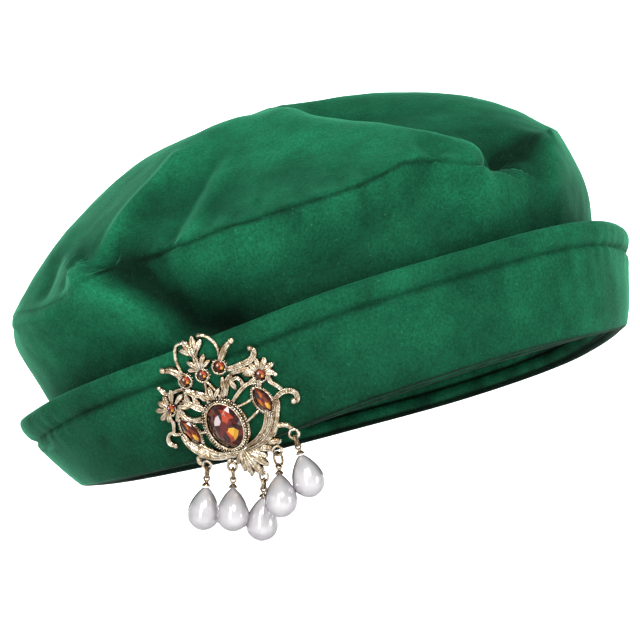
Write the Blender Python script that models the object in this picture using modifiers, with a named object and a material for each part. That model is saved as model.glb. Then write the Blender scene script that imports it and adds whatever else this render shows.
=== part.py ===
"""Renaissance beret: a soft velvet crown with a turned-up brim, and a brooch with stones and pearl drops.

Everything is in metres. The hat is modelled upright in its own frame, with the head opening's centre at the
origin, the wearer facing -X and the brooch on the -Y side. An empty then leans it as it is worn, so that
+Z is plumb and the pearls hang straight down.
"""

import math
from collections import namedtuple

import bmesh
import bpy
from mathutils import Matrix, Vector

# The hat as it is worn
WORN_TILT = math.radians(15.0)
FIT_GAP = 0.0003

# Head opening, an oval: half its length along X and half its width along Y, at the brim's outer lower edge
RIM_HALF_LENGTH = 0.1075
RIM_HALF_WIDTH = 0.0900
BRIM_THICKNESS = 0.0036
CLOTH = 0.0020
HEADBAND_THICKNESS = 0.0013
HEADBAND_HEIGHT = 0.026
HEADBAND_FOOT = 0.0012

# Brim
BRIM_BELLY = 0.0012
BRIM_CHANNEL_DROP = 0.0095
BRIM_CHANNEL_DEPTH = 0.0008
BRIM_LIP = 0.0007

# Crown
CROWN_FOOT = 0.0020
NECK_HEIGHT = 0.040
SHOULDER_SHARE = 0.78
MIDDLE_SHARE = 0.45
CROWN_TOP = 0.1235
SEAM_GAP = 0.0009
SEAM_HEM = 0.0016
FOLD_CENTRE = Vector((0.0, 0.0, 0.035))
FRONT_FADE = 0.030

# How finely the soft pieces are divided: closely across the front, where the folds are, and less behind
FRONT_FROM = 190.0
FRONT_TO = 350.0
FRONT_STEPS = 30
REAR_STEPS = 20
SIDE_ROWS = 8
TOP_ROWS = 7

BrimSection = namedtuple("BrimSection", "azimuth base height flare")
BRIM_SECTIONS = (
    BrimSection(0, 0.0060, 0.0364, 0.0090),
    BrimSection(30, 0.0010, 0.0405, 0.0082),
    BrimSection(60, -0.0010, 0.0420, 0.0080),
    BrimSection(90, -0.0010, 0.0420, 0.0080),
    BrimSection(120, -0.0010, 0.0420, 0.0090),
    BrimSection(150, 0.0000, 0.0380, 0.0125),
    BrimSection(180, 0.0008, 0.0302, 0.0172),
    BrimSection(210, -0.0027, 0.0362, 0.0142),
    BrimSection(240, -0.0048, 0.0408, 0.0100),
    BrimSection(270, -0.0022, 0.0430, 0.0080),
    BrimSection(300, 0.0008, 0.0426, 0.0070),
    BrimSection(330, 0.0030, 0.0425, 0.0080),
)

CrownSection = namedtuple("CrownSection", "azimuth neck bulge bulge_z seam seam_z shoulder_z middle_z")
CROWN_SECTIONS = (
    CrownSection(0, 0.1045, 0.1070, 0.062, 0.1020, 0.0860, 0.1035, 0.1165),
    CrownSection(30, 0.1000, 0.1060, 0.062, 0.1020, 0.0830, 0.1020, 0.1165),
    CrownSection(60, 0.0920, 0.1010, 0.062, 0.1010, 0.0810, 0.1000, 0.1175),
    CrownSection(90, 0.0900, 0.0990, 0.062, 0.0990, 0.0790, 0.1000, 0.1175),
    CrownSection(120, 0.0930, 0.1020, 0.061, 0.1010, 0.0775, 0.1000, 0.1170),
    CrownSection(150, 0.1045, 0.1105, 0.060, 0.1085, 0.0740, 0.0970, 0.1170),
    CrownSection(180, 0.1130, 0.1183, 0.058, 0.1172, 0.0700, 0.0945, 0.1160),
    CrownSection(210, 0.1060, 0.1140, 0.056, 0.1130, 0.0665, 0.0900, 0.1120),
    CrownSection(240, 0.0930, 0.0990, 0.057, 0.1010, 0.0690, 0.0860, 0.1070),
    CrownSection(270, 0.0890, 0.0950, 0.058, 0.0970, 0.0720, 0.0850, 0.1040),
    CrownSection(300, 0.0915, 0.0970, 0.060, 0.0980, 0.0770, 0.0890, 0.1030),
    CrownSection(330, 0.0985, 0.1035, 0.062, 0.0990, 0.0785, 0.0950, 0.1100),
)

# A fold follows a line drawn on the front of the crown as (x, z). It stands out by rise, or sinks if that
# is negative, and is as wide as width to each side.
Fold = namedtuple("Fold", "name rise width line")
FRONT_FOLDS = (
    Fold("left_crest", 0.0050, 0.0100, (
        (-0.016, 0.120), (-0.031, 0.110), (-0.054, 0.096), (-0.073, 0.079), (-0.083, 0.070),
    )),
    Fold("front_roll", 0.0060, 0.0110, (
        (0.004, 0.114), (0.014, 0.105), (0.032, 0.094), (0.050, 0.087), (0.065, 0.076),
    )),
    Fold("behind_roll", -0.0050, 0.0120, ((0.030, 0.108), (0.050, 0.098), (0.068, 0.086))),
    Fold("pucker", -0.0045, 0.0070, ((-0.046, 0.071), (-0.035, 0.083), (-0.027, 0.092))),
    Fold("right_valley", -0.0060, 0.0070, ((0.068, 0.071), (0.078, 0.074), (0.089, 0.081))),
    Fold("right_crest", 0.0030, 0.0080, ((0.094, 0.086), (0.093, 0.071), (0.087, 0.055))),
    Fold("side_hollow_left", -0.0050, 0.0120, (
        (-0.068, 0.058), (-0.050, 0.050), (-0.030, 0.048), (-0.005, 0.052),
    )),
    Fold("side_hollow_right", -0.0050, 0.0100, ((0.040, 0.072), (0.024, 0.060), (0.004, 0.050))),
    Fold("side_crest_left", 0.0045, 0.0110, ((-0.098, 0.052), (-0.080, 0.058), (-0.070, 0.064))),
    Fold("side_crest_right", 0.0030, 0.0100, ((0.052, 0.070), (0.056, 0.058), (0.050, 0.048))),
)

# The brooch is drawn as it is seen from the front, in u to the right and v upwards from the oval stone's
# centre, and laid on the brim
BROOCH_X = -0.0478
BROOCH_Z = 0.0049
BROOCH_LEAN = math.radians(10.0)
BROOCH_STANDOFF = 0.0004
TUBE_STEP = 0.0036
ROUND_FROM = 0.00080

Stroke = namedtuple("Stroke", "name radius tip line")
STROKES = (
    Stroke("arch_left", 0.00055, 0.00055, (
        (-0.0012, 0.0323), (-0.0040, 0.0326), (-0.0059, 0.0295), (-0.0065, 0.0257), (-0.0062, 0.0215),
    )),
    Stroke("arch_right", 0.00060, 0.00055, (
        (0.0035, 0.0326), (0.0056, 0.0320), (0.0078, 0.0295), (0.0088, 0.0257), (0.0076, 0.0215),
    )),
    Stroke("horn_left", 0.00135, 0.00075, (
        (-0.0118, 0.0270), (-0.0093, 0.0258), (-0.0076, 0.0236), (-0.0066, 0.0205),
    )),
    Stroke("horn_right", 0.00135, 0.00075, (
        (0.0141, 0.0257), (0.0113, 0.0245), (0.0088, 0.0223), (0.0070, 0.0202),
    )),
    Stroke("arm_left", 0.00080, 0.00050, (
        (-0.0156, 0.0222), (-0.0150, 0.0201), (-0.0131, 0.0188), (-0.0100, 0.0185), (-0.0074, 0.0180),
    )),
    Stroke("arm_right", 0.00120, 0.00060, (
        (0.0076, 0.0178), (0.0113, 0.0170), (0.0150, 0.0167), (0.0180, 0.0170), (0.0197, 0.0188),
        (0.0191, 0.0200),
    )),
    Stroke("arm_right_low", 0.00080, 0.00060, (
        (0.0086, 0.0162), (0.0125, 0.0150), (0.0158, 0.0138), (0.0178, 0.0122),
    )),
    Stroke("leaf_left", 0.00130, 0.00070, (
        (-0.0076, 0.0178), (-0.0056, 0.0151), (-0.0031, 0.0133), (-0.0004, 0.0106),
    )),
    Stroke("leaf_left_low", 0.00110, 0.00070, (
        (-0.0106, 0.0144), (-0.0080, 0.0126), (-0.0062, 0.0106), (-0.0040, 0.0080),
    )),
    Stroke("leaf_right", 0.00130, 0.00070, (
        (0.0092, 0.0150), (0.0070, 0.0136), (0.0048, 0.0114), (0.0028, 0.0090),
    )),
    Stroke("stem_left", 0.00065, 0.00060, (
        (0.0001, 0.0176), (-0.0006, 0.0150), (-0.0016, 0.0118), (-0.0024, 0.0092),
    )),
    Stroke("stem_right", 0.00065, 0.00060, (
        (0.0001, 0.0176), (0.0012, 0.0150), (0.0022, 0.0118), (0.0026, 0.0092),
    )),
    Stroke("bud_stem", 0.00060, 0.00060, (
        (0.0001, 0.0218), (0.0004, 0.0232), (0.0007, 0.0246), (0.0007, 0.0268),
    )),
    Stroke("scroll_left_outer", 0.00085, 0.00060, (
        (-0.0125, 0.0140), (-0.0119, 0.0100), (-0.0106, 0.0076), (-0.0085, 0.0064), (-0.0062, 0.0062),
    )),
    Stroke("scroll_left_inner", 0.00085, 0.00060, (
        (-0.0120, 0.0145), (-0.0086, 0.0124), (-0.0064, 0.0096), (-0.0048, 0.0082),
    )),
    Stroke("strut_left_high", 0.00060, 0.00055, (
        (-0.0108, 0.0070), (-0.0085, 0.0056), (-0.0060, 0.0048),
    )),
    Stroke("strut_left_low", 0.00065, 0.00055, ((-0.0098, 0.0018), (-0.0080, 0.0014), (-0.0066, 0.0010))),
    Stroke("edge_left", 0.00075, 0.00060, (
        (-0.0184, 0.0130), (-0.0168, 0.0112), (-0.0163, 0.0090), (-0.0171, 0.0068), (-0.0176, 0.0054),
        (-0.0150, 0.0042),
    )),
    Stroke("curl_left", 0.00075, 0.00065, (
        (-0.0170, 0.0058), (-0.0190, 0.0062), (-0.0205, 0.0046), (-0.0204, 0.0028), (-0.0190, 0.0017),
    )),
    Stroke("cradle_left", 0.00125, 0.00080, (
        (-0.0152, 0.0040), (-0.0140, -0.0005), (-0.0112, -0.0050), (-0.0070, -0.0084), (0.0016, -0.0104),
    )),
    Stroke("cradle_left_inner", 0.00105, 0.00070, (
        (-0.0112, -0.0012), (-0.0088, -0.0048), (-0.0056, -0.0076), (-0.0020, -0.0094),
    )),
    Stroke("cradle_right", 0.00140, 0.00080, (
        (0.0008, -0.0104), (0.0088, -0.0108), (0.0140, -0.0084), (0.0176, -0.0036), (0.0202, 0.0008),
    )),
    Stroke("cradle_right_inner", 0.00120, 0.00070, (
        (0.0040, -0.0096), (0.0088, -0.0090), (0.0126, -0.0064), (0.0150, -0.0028),
    )),
    Stroke("arc_right", 0.00095, 0.00060, (
        (0.0050, 0.0060), (0.0094, 0.0086), (0.0134, 0.0098), (0.0166, 0.0086),
    )),
    Stroke("loop_right", 0.00085, 0.00060, (
        (0.0042, 0.0088), (0.0070, 0.0126), (0.0104, 0.0134), (0.0116, 0.0112), (0.0108, 0.0094),
    )),
    Stroke("strut_right_high", 0.00060, 0.00055, ((0.0060, 0.0044), (0.0094, 0.0040), (0.0130, 0.0046))),
    Stroke("strut_right_low", 0.00060, 0.00055, (
        (0.0066, -0.0022), (0.0098, -0.0012), (0.0130, -0.0002),
    )),
    Stroke("curl_right", 0.00105, 0.00110, (
        (0.0178, 0.0000), (0.0206, 0.0014), (0.0231, 0.0020), (0.0256, 0.0012), (0.0270, -0.0006),
        (0.0264, -0.0027), (0.0250, -0.0027),
    )),
    Stroke("edge_right", 0.00095, 0.00060, (
        (0.0236, 0.0018), (0.0222, 0.0046), (0.0207, 0.0070), (0.0209, 0.0092), (0.0221, 0.0096),
        (0.0233, 0.0085),
    )),
    Stroke("hook_left", 0.00070, 0.00060, (
        (-0.0078, -0.0080), (-0.0112, -0.0056), (-0.0132, -0.0056), (-0.0138, -0.0072),
        (-0.0130, -0.0086),
    )),
    Stroke("hook_right", 0.00080, 0.00065, (
        (0.0150, -0.0068), (0.0172, -0.0080), (0.0196, -0.0092), (0.0207, -0.0112),
    )),
    Stroke("neck_middle_left", 0.00090, 0.00080, (
        (-0.0030, -0.0108), (-0.0041, -0.0118), (-0.0043, -0.0126),
    )),
    Stroke("neck_middle_right", 0.00100, 0.00070, (
        (0.0060, -0.0108), (0.0096, -0.0128), (0.0117, -0.0143),
    )),
)

# A fan is a leaf or a flower: ribs spread evenly about one direction, counted clockwise from straight up
Fan = namedtuple("Fan", "name u v direction spread ribs length radius")
FANS = (
    Fan("bell", 0.0006, 0.0272, 0, 56, 3, 0.0070, 0.00100),
    Fan("lily", 0.0003, 0.0226, 0, 130, 4, 0.0040, 0.00070),
    Fan("leaf_bottom", 0.0020, -0.0104, 168, 24, 3, 0.0104, 0.00120),
    Fan("cluster_left", -0.0122, 0.0140, 280, 70, 3, 0.0070, 0.00095),
    Fan("cluster_right", 0.0168, 0.0112, 60, 76, 3, 0.0066, 0.00095),
)

# Stones, on the brooch: half width along u, half length along v, turned clockwise
Stone = namedtuple("Stone", "name shape u v half_width half_length turn sides lift crown")
STONES = (
    Stone("oval_stone", "oval", 0.0, 0.0, 0.0059, 0.0082, 0, 16, 0.0018, 0.0026),
    Stone("marquise_stone_left", "marquise", -0.0120, 0.0034, 0.0024, 0.0056, -12, 10, 0.0012, 0.0018),
    Stone("marquise_stone_right", "marquise", 0.0156, 0.0022, 0.0026, 0.0054, -10, 10, 0.0012, 0.0018),
    Stone("round_stone_1", "oval", -0.0062, 0.0202, 0.0020, 0.0020, 0, 8, 0.0014, 0.0011),
    Stone("round_stone_2", "oval", 0.0001, 0.0194, 0.0019, 0.0019, 0, 8, 0.0014, 0.0011),
    Stone("round_stone_3", "oval", 0.0067, 0.0194, 0.0021, 0.0021, 0, 8, 0.0014, 0.0011),
    Stone("round_stone_4", "oval", -0.0152, 0.0138, 0.0018, 0.0018, 0, 8, 0.0014, 0.0011),
    Stone("round_stone_5", "oval", 0.0184, 0.0107, 0.0021, 0.0021, 0, 8, 0.0014, 0.0011),
)
TABLE_SHARE = 0.56
CULET_SHARE = 0.45
SEAT_GAP = 0.0004
WIRE_OVAL_STONE = 0.0007
WIRE_SMALL_STONES = 0.00040
FLOOR_LOW = 0.00015
FLOOR_HIGH = 0.00070
SEAT_TOP = 0.0080

# Drops: the loop that each hangs from on the brooch, the angle that it swings out of plumb, its ring and
# how far its pearl is pushed forward
Drop = namedtuple("Drop", "number u v swing ring ring_turn forward")
DROPS = (
    Drop(1, -0.0122, -0.0096, 5.0, 0.0020, 80, 0.0),
    Drop(2, -0.0043, -0.0140, 0.0, 0.0020, 85, 9.0),
    Drop(3, 0.0043, -0.0221, 2.5, 0.0018, 75, -9.0),
    Drop(4, 0.0125, -0.0158, -4.0, 0.0025, 55, 14.0),
    Drop(5, 0.0203, -0.0130, -17.0, 0.0020, 80, 0.0),
)
LOOP_RADIUS = 0.0016
LOOP_WIRE = 0.00055
RING_WIRE = 0.00032
EYE_RADIUS = 0.00095
EYE_WIRE = 0.00028
LINK_GAP = 0.00014
CAP_LENGTH = 0.0021
CAP_RADIUS = 0.0015
PEARL_LENGTH = 0.0150
PEARL_RADIUS = 0.0056

PearlRow = namedtuple("PearlRow", "down width")
PEARL_ROWS = (
    PearlRow(0.00, 0.17),
    PearlRow(0.07, 0.36),
    PearlRow(0.19, 0.60),
    PearlRow(0.34, 0.82),
    PearlRow(0.50, 0.96),
    PearlRow(0.65, 1.00),
    PearlRow(0.79, 0.90),
    PearlRow(0.91, 0.63),
    PearlRow(0.98, 0.30),
)

# The hidden pin, which runs in the brim's thickness between two posts behind the marquise stones
PIN_RADIUS = 0.0005
PIN_DEPTH = 0.0021
PIN_CLEARANCE = 0.00035

Finish = namedtuple("Finish", "colour roughness metallic")
FINISHES = {
    "velvet": Finish((0.015, 0.130, 0.062, 1.0), 0.95, 0.0),
    "gold": Finish((0.800, 0.680, 0.480, 1.0), 0.28, 1.0),
    "amber_stone": Finish((0.300, 0.030, 0.010, 1.0), 0.05, 0.0),
    "pearl": Finish((0.850, 0.830, 0.830, 1.0), 0.20, 0.0),
}


def clear_scene():
    for obj in list(bpy.data.objects):
        bpy.data.objects.remove(obj)


def make_materials():
    made = {}
    for name, finish in FINISHES.items():
        material = bpy.data.materials.new(name)
        material.use_nodes = True
        shader = material.node_tree.nodes["Principled BSDF"]
        shader.inputs["Base Color"].default_value = finish.colour
        shader.inputs["Roughness"].default_value = finish.roughness
        shader.inputs["Metallic"].default_value = finish.metallic
        made[name] = material
    return made


def make_collection(name):
    collection = bpy.data.collections.new(name)
    bpy.context.scene.collection.children.link(collection)
    return collection


def add_object(name, data, collection, material=None, parent=None):
    obj = bpy.data.objects.new(name, data)
    collection.objects.link(obj)
    obj.parent = parent
    if material is not None:
        data.materials.clear()
        data.materials.append(material)
    return obj


def hide_helper(obj):
    obj.hide_render = True
    obj.display_type = "WIRE"


def curved(before, start, end, after, share):
    """Catmull-Rom between start and end."""
    slope_in = (end - before) * 0.5
    slope_out = (after - start) * 0.5
    s2 = share * share
    s3 = s2 * share
    return (
        start * (2 * s3 - 3 * s2 + 1)
        + slope_in * (s3 - 2 * s2 + share)
        + end * (3 * s2 - 2 * s3)
        + slope_out * (s3 - s2)
    )


def around(sections, column, azimuth):
    """A column of a table of evenly spaced sections, read smoothly at any azimuth in degrees."""
    count = len(sections)
    place = (azimuth % 360.0) / 360.0 * count
    row = int(place)
    values = [getattr(sections[(row + k - 1) % count], column) for k in range(4)]
    return curved(*values, place - row)


def along(points, share):
    """A point on the smooth curve through points, share running from 0 to 1."""
    place = min(max(share, 0.0), 1.0) * (len(points) - 1)
    row = min(int(place), len(points) - 2)
    start, end = points[row], points[row + 1]
    before = points[row - 1] if row else start * 2 - end
    after = points[row + 2] if row + 2 < len(points) else end * 2 - start
    return curved(before, start, end, after, place - row)


def smooth_step(low, high, value):
    share = min(max((value - low) / (high - low), 0.0), 1.0)
    return share * share * (3 - 2 * share)


def oval_radius(azimuth, half_length, half_width):
    turn = math.radians(azimuth)
    return half_length * half_width / math.hypot(half_width * math.cos(turn), half_length * math.sin(turn))


def rim_radius(azimuth, inset=0.0):
    return oval_radius(azimuth, RIM_HALF_LENGTH - inset, RIM_HALF_WIDTH - inset)


def at(azimuth, radius, height):
    turn = math.radians(azimuth)
    return Vector((radius * math.cos(turn), radius * math.sin(turn), height))


# Folds of the crown


def distance_to_line(x, z, line):
    nearest = 1.0
    for (x0, z0), (x1, z1) in zip(line, line[1:]):
        run, rise = x1 - x0, z1 - z0
        share = ((x - x0) * run + (z - z0) * rise) / (run * run + rise * rise)
        share = min(max(share, 0.0), 1.0)
        nearest = min(nearest, math.hypot(x - x0 - share * run, z - z0 - share * rise))
    return nearest


def folded(point):
    """The point moved in or out by the folds on the front of the crown."""
    front = smooth_step(0.0, -FRONT_FADE, point.y)
    if front == 0.0:
        return point
    push = 0.0
    for fold in FRONT_FOLDS:
        away = distance_to_line(point.x, point.z, fold.line) / fold.width
        push += fold.rise * math.exp(-away * away)
    outward = (point - FOLD_CENTRE).normalized()
    return point + outward * (push * front)


def side_point(azimuth, share):
    """The outside of the crown's side panel, from its foot at share 0 to the seam at share 1."""
    foot_inset = BRIM_THICKNESS + FIT_GAP
    column = {name: around(CROWN_SECTIONS, name, azimuth) for name in CrownSection._fields[1:]}
    profile = [
        Vector((rim_radius(azimuth, foot_inset), CROWN_FOOT + around(BRIM_SECTIONS, "base", azimuth))),
        Vector((column["neck"], NECK_HEIGHT)),
        Vector((column["bulge"], column["bulge_z"])),
        Vector((column["seam"], column["seam_z"])),
    ]
    radius, height = along(profile, share)
    return folded(at(azimuth, radius, height))


def top_point(azimuth, share):
    """The outside of the crown's top panel, from above its hem at share 0 to its centre at share 1."""
    seam = around(CROWN_SECTIONS, "seam", azimuth)
    heights = [
        Vector((1.0, around(CROWN_SECTIONS, "seam_z", azimuth) + SEAM_GAP + SEAM_HEM)),
        Vector((SHOULDER_SHARE, around(CROWN_SECTIONS, "shoulder_z", azimuth))),
        Vector((MIDDLE_SHARE, around(CROWN_SECTIONS, "middle_z", azimuth))),
        Vector((0.0, CROWN_TOP)),
    ]
    inward, height = along(heights, share)
    return folded(at(azimuth, seam * max(inward, 0.0), height))


def hem_point(azimuth):
    """The lower edge of the top panel, which stands straight up from the seam."""
    return top_point(azimuth, 0.0) - Vector((0.0, 0.0, SEAM_HEM))


def ring_mesh(name, rows, closed_at_end=False):
    """A mesh of rings of points, each joined to the next. The last ring may close on one point."""
    mesh = bmesh.new()
    rings = [[mesh.verts.new(point) for point in row] for row in rows]
    for lower, upper in zip(rings, rings[1:]):
        for k in range(len(lower)):
            n = (k + 1) % len(lower)
            mesh.faces.new((lower[k], lower[n], upper[n], upper[k]))
    if closed_at_end:
        tip = mesh.verts.new(sum((v.co for v in rings[-1]), Vector()) / len(rings[-1]))
        for k in range(len(rings[-1])):
            mesh.faces.new((rings[-1][k], rings[-1][(k + 1) % len(rings[-1])], tip))
    data = bpy.data.meshes.new(name)
    mesh.to_mesh(data)
    mesh.free()
    data.shade_smooth()
    return data


def azimuths():
    front = FRONT_TO - FRONT_FROM
    rear = 360.0 - front
    across_front = [FRONT_FROM + front * k / FRONT_STEPS for k in range(FRONT_STEPS)]
    return across_front + [FRONT_TO + rear * k / REAR_STEPS for k in range(REAR_STEPS)]


def thicken(obj, thickness):
    """Gives an open cloth surface its thickness, inwards."""
    shell = obj.modifiers.new("cloth", "SOLIDIFY")
    shell.thickness = thickness
    shell.offset = -1.0
    shell.use_even_offset = False
    return obj


def make_crown_side(collection, material, parent):
    rows = []
    for row in range(SIDE_ROWS + 1):
        rows.append([side_point(azimuth, row / SIDE_ROWS) for azimuth in azimuths()])
    side = add_object("crown_side", ring_mesh("crown_side", rows), collection, material, parent)
    return thicken(side, CLOTH)


def make_crown_top(collection, material, parent):
    rows = [[hem_point(azimuth) for azimuth in azimuths()]]
    for row in range(TOP_ROWS):
        share = 0.97 * row / TOP_ROWS
        rows.append([top_point(azimuth, share) for azimuth in azimuths()])
    top = add_object("crown_top", ring_mesh("crown_top", rows, True), collection, material, parent)
    return thicken(top, CLOTH)


# Brim and headband


def brim_point(azimuth, share, lift=0.0):
    """On the brim's outer face, share running from the lower edge at 0 to the top edge at 1."""
    base = around(BRIM_SECTIONS, "base", azimuth)
    height = around(BRIM_SECTIONS, "height", azimuth)
    flare = around(BRIM_SECTIONS, "flare", azimuth)
    belly = BRIM_BELLY * 4 * share * (1 - share) if 0 < share < 1 else 0.0
    return at(azimuth, rim_radius(azimuth) + flare * share + belly + lift, base + height * share)


def brim_section(azimuth):
    """The brim's outline at one azimuth: up its outer face, over the rolled top and down its inner face."""
    height = around(BRIM_SECTIONS, "height", azimuth)
    channel = 1 - BRIM_CHANNEL_DROP / height
    step = 0.0022 / height
    outside = (
        (0.00, -0.0010), (0.04, 0.0), (0.40, 0.0), (channel - step, 0.0),
        (channel, -BRIM_CHANNEL_DEPTH), (channel + step, BRIM_LIP * 0.7), (0.96, BRIM_LIP * 0.7),
    )
    section = [brim_point(azimuth, share, lift) for share, lift in outside]
    section.append(brim_point(azimuth, 1.0, -0.4 * BRIM_THICKNESS))
    for share, depth in ((0.96, 1.1), (0.50, 1.0), (0.04, 1.0), (0.00, 0.75)):
        section.append(brim_point(azimuth, share, -depth * BRIM_THICKNESS))
    return section


def make_brim(collection, material, parent):
    sections = [brim_section(azimuth) for azimuth in azimuths()]
    mesh = bmesh.new()
    rings = [[mesh.verts.new(point) for point in section] for section in sections]
    for k, ring in enumerate(rings):
        other = rings[(k + 1) % len(rings)]
        for row in range(len(ring)):
            n = (row + 1) % len(ring)
            mesh.faces.new((ring[row], other[row], other[n], ring[n]))
    data = bpy.data.meshes.new("brim")
    mesh.to_mesh(data)
    mesh.free()
    data.shade_smooth()
    return add_object("brim", data, collection, material, parent)


def make_headband(collection, material, parent):
    """The inner band, with a rounded hem along its lower edge and a second fold above it."""
    outer_inset = BRIM_THICKNESS + FIT_GAP + CLOTH + FIT_GAP
    profile = ((0.0, 0.0003), (0.0045, 0.0), (0.0056, 0.0006), (0.0070, 0.0001), (HEADBAND_HEIGHT, 0.0006))
    rows = []
    for rise, inset in profile:
        row = []
        for azimuth in azimuths():
            foot = HEADBAND_FOOT + around(BRIM_SECTIONS, "base", azimuth)
            row.append(at(azimuth, rim_radius(azimuth, outer_inset) - inset, foot + rise))
        rows.append(row)
    band = add_object("headband", ring_mesh("headband", rows), collection, material, parent)
    return thicken(band, HEADBAND_THICKNESS)


# Brooch, laid on the brim


def brooch_point(u, v, lift=0.0):
    """A point of the brooch's drawing, on a face that hugs the brim and goes on straight below it."""
    x = BROOCH_X + u * math.cos(BROOCH_LEAN) - v * math.sin(BROOCH_LEAN)
    z = BROOCH_Z + u * math.sin(BROOCH_LEAN) + v * math.cos(BROOCH_LEAN)
    azimuth = 245.0
    for _ in range(12):
        base = around(BRIM_SECTIONS, "base", azimuth)
        share = (z - base) / around(BRIM_SECTIONS, "height", azimuth)
        radius = rim_radius(azimuth) + around(BRIM_SECTIONS, "flare", azimuth) * share
        radius += BRIM_BELLY + BROOCH_STANDOFF + lift
        azimuth = 180.0 + math.degrees(math.acos(max(min(-x / radius, 1.0), -1.0)))
    return at(azimuth, radius, z)


def brooch_frame_at(u, v, lift=0.0):
    """A frame on the brooch: X along u, Y along v and Z out of it."""
    step = 0.001
    centre = brooch_point(u, v, lift)
    along_u = (brooch_point(u + step, v, lift) - brooch_point(u - step, v, lift)).normalized()
    along_v = brooch_point(u, v + step, lift) - brooch_point(u, v - step, lift)
    out = along_u.cross(along_v).normalized()
    along_v = out.cross(along_u)
    turn = Matrix((along_u, along_v, out)).transposed().to_4x4()
    return Matrix.Translation(centre) @ turn


def tube(name, points, radii, resolution=1, cyclic=False):
    """A round wire through the points, as a closed mesh."""
    curve = bpy.data.curves.new(name, "CURVE")
    curve.dimensions = "3D"
    curve.bevel_depth = 1.0
    curve.bevel_resolution = resolution
    curve.use_fill_caps = not cyclic
    curve.twist_mode = "MINIMUM"
    spline = curve.splines.new("POLY")
    spline.points.add(len(points) - 1)
    spline.use_cyclic_u = cyclic
    for knot, point, radius in zip(spline.points, points, radii):
        knot.co = (*point, 1.0)
        knot.radius = radius
    guide = bpy.data.objects.new(name, curve)
    bpy.context.scene.collection.objects.link(guide)
    graph = bpy.context.evaluated_depsgraph_get()
    data = bpy.data.meshes.new_from_object(guide.evaluated_get(graph))
    bpy.data.objects.remove(guide)
    bpy.data.curves.remove(curve)
    mesh = bmesh.new()
    mesh.from_mesh(data)
    bmesh.ops.remove_doubles(mesh, verts=mesh.verts, dist=0.00001)
    bmesh.ops.recalc_face_normals(mesh, faces=mesh.faces)
    mesh.to_mesh(data)
    mesh.free()
    data.name = name
    return data


def stroke_tube(stroke):
    knots = [Vector(point) for point in stroke.line]
    length = sum((b - a).length for a, b in zip(knots, knots[1:]))
    count = max(len(knots) - 1, round(length / TUBE_STEP))
    points, radii = [], []
    for k in range(count + 1):
        share = k / count
        swell = math.sin(math.pi * share) ** 0.5
        radius = stroke.tip + (stroke.radius - stroke.tip) * swell
        u, v = along(knots, share)
        points.append(brooch_point(u, v, radius))
        radii.append(radius)
    return tube(stroke.name, points, radii, 1 if stroke.radius >= ROUND_FROM else 0)


def fan_tubes(fan):
    made = []
    for rib in range(fan.ribs):
        turn = fan.direction + fan.spread * (rib / (fan.ribs - 1) - 0.5)
        bend = 0.25 * fan.spread * (rib / (fan.ribs - 1) - 0.5)
        points, radii = [], []
        for k in range(3):
            share = k / 2
            angle = math.radians(turn + bend * share)
            reach = fan.length * share
            radius = fan.radius * (0.75 + 0.25 * math.sin(math.pi * share))
            u = fan.u + reach * math.sin(angle)
            v = fan.v + reach * math.cos(angle)
            points.append(brooch_point(u, v, radius))
            radii.append(radius)
        made.append(tube(f"{fan.name}_{rib}", points, radii, 0))
    return made


def stone_outline(stone, grow=0.0):
    """The stone's girdle about its own centre, counter-clockwise, turned as it is set and grown by grow."""
    turn = Matrix.Rotation(-math.radians(stone.turn), 2)
    points = []
    for k in range(stone.sides):
        angle = 2 * math.pi * k / stone.sides
        x, y = math.cos(angle), math.sin(angle)
        if stone.shape == "marquise":
            x *= abs(math.cos(angle)) ** 0.6
        points.append(turn @ Vector((x * stone.half_width, y * stone.half_length)))
    grown = []
    for k, point in enumerate(points):
        before = (point - points[k - 1]).normalized()
        after = (points[(k + 1) % len(points)] - point).normalized()
        out = Vector((before.y + after.y, -before.x - after.x)).normalized()
        corner = max(out.dot(Vector((after.y, -after.x))), 0.6)
        grown.append(point + out * (grow / corner))
    return grown


def setting_wire(stone):
    return WIRE_OVAL_STONE if stone.name == "oval_stone" else WIRE_SMALL_STONES


def setting_tube(stone):
    """The wire that holds a stone round its girdle."""
    wire = setting_wire(stone)
    place = brooch_frame_at(stone.u, stone.v)
    outline = stone_outline(stone, wire + SEAT_GAP)
    points = [place @ Vector((x, y, max(wire, 0.6 * stone.lift))) for x, y in outline]
    resolution = 1 if stone.name == "oval_stone" else 0
    return tube(stone.name + "_setting", points, [wire] * len(points), resolution, cyclic=True)


def prism(name, stone, grow, low, high):
    """A plate in the stone's outline, grown by grow, from low to high above the brooch's face."""
    mesh = bmesh.new()
    place = brooch_frame_at(stone.u, stone.v)
    outline = stone_outline(stone, grow)
    bottom = [mesh.verts.new(place @ Vector((x, y, low))) for x, y in outline]
    top = [mesh.verts.new(place @ Vector((x, y, high))) for x, y in outline]
    mesh.faces.new(reversed(bottom))
    mesh.faces.new(top)
    for k in range(len(outline)):
        n = (k + 1) % len(outline)
        mesh.faces.new((bottom[k], bottom[n], top[n], top[k]))
    data = bpy.data.meshes.new(name)
    mesh.to_mesh(data)
    mesh.free()
    return data


def drop_loop(drop):
    place = brooch_frame_at(drop.u, drop.v, LOOP_WIRE)
    points = []
    for k in range(10):
        angle = 2 * math.pi * k / 10
        points.append(place @ Vector((LOOP_RADIUS * math.cos(angle), LOOP_RADIUS * math.sin(angle), 0.0)))
    return tube(f"drop_loop_{drop.number}", points, [LOOP_WIRE] * 10, 0, cyclic=True)


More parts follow.
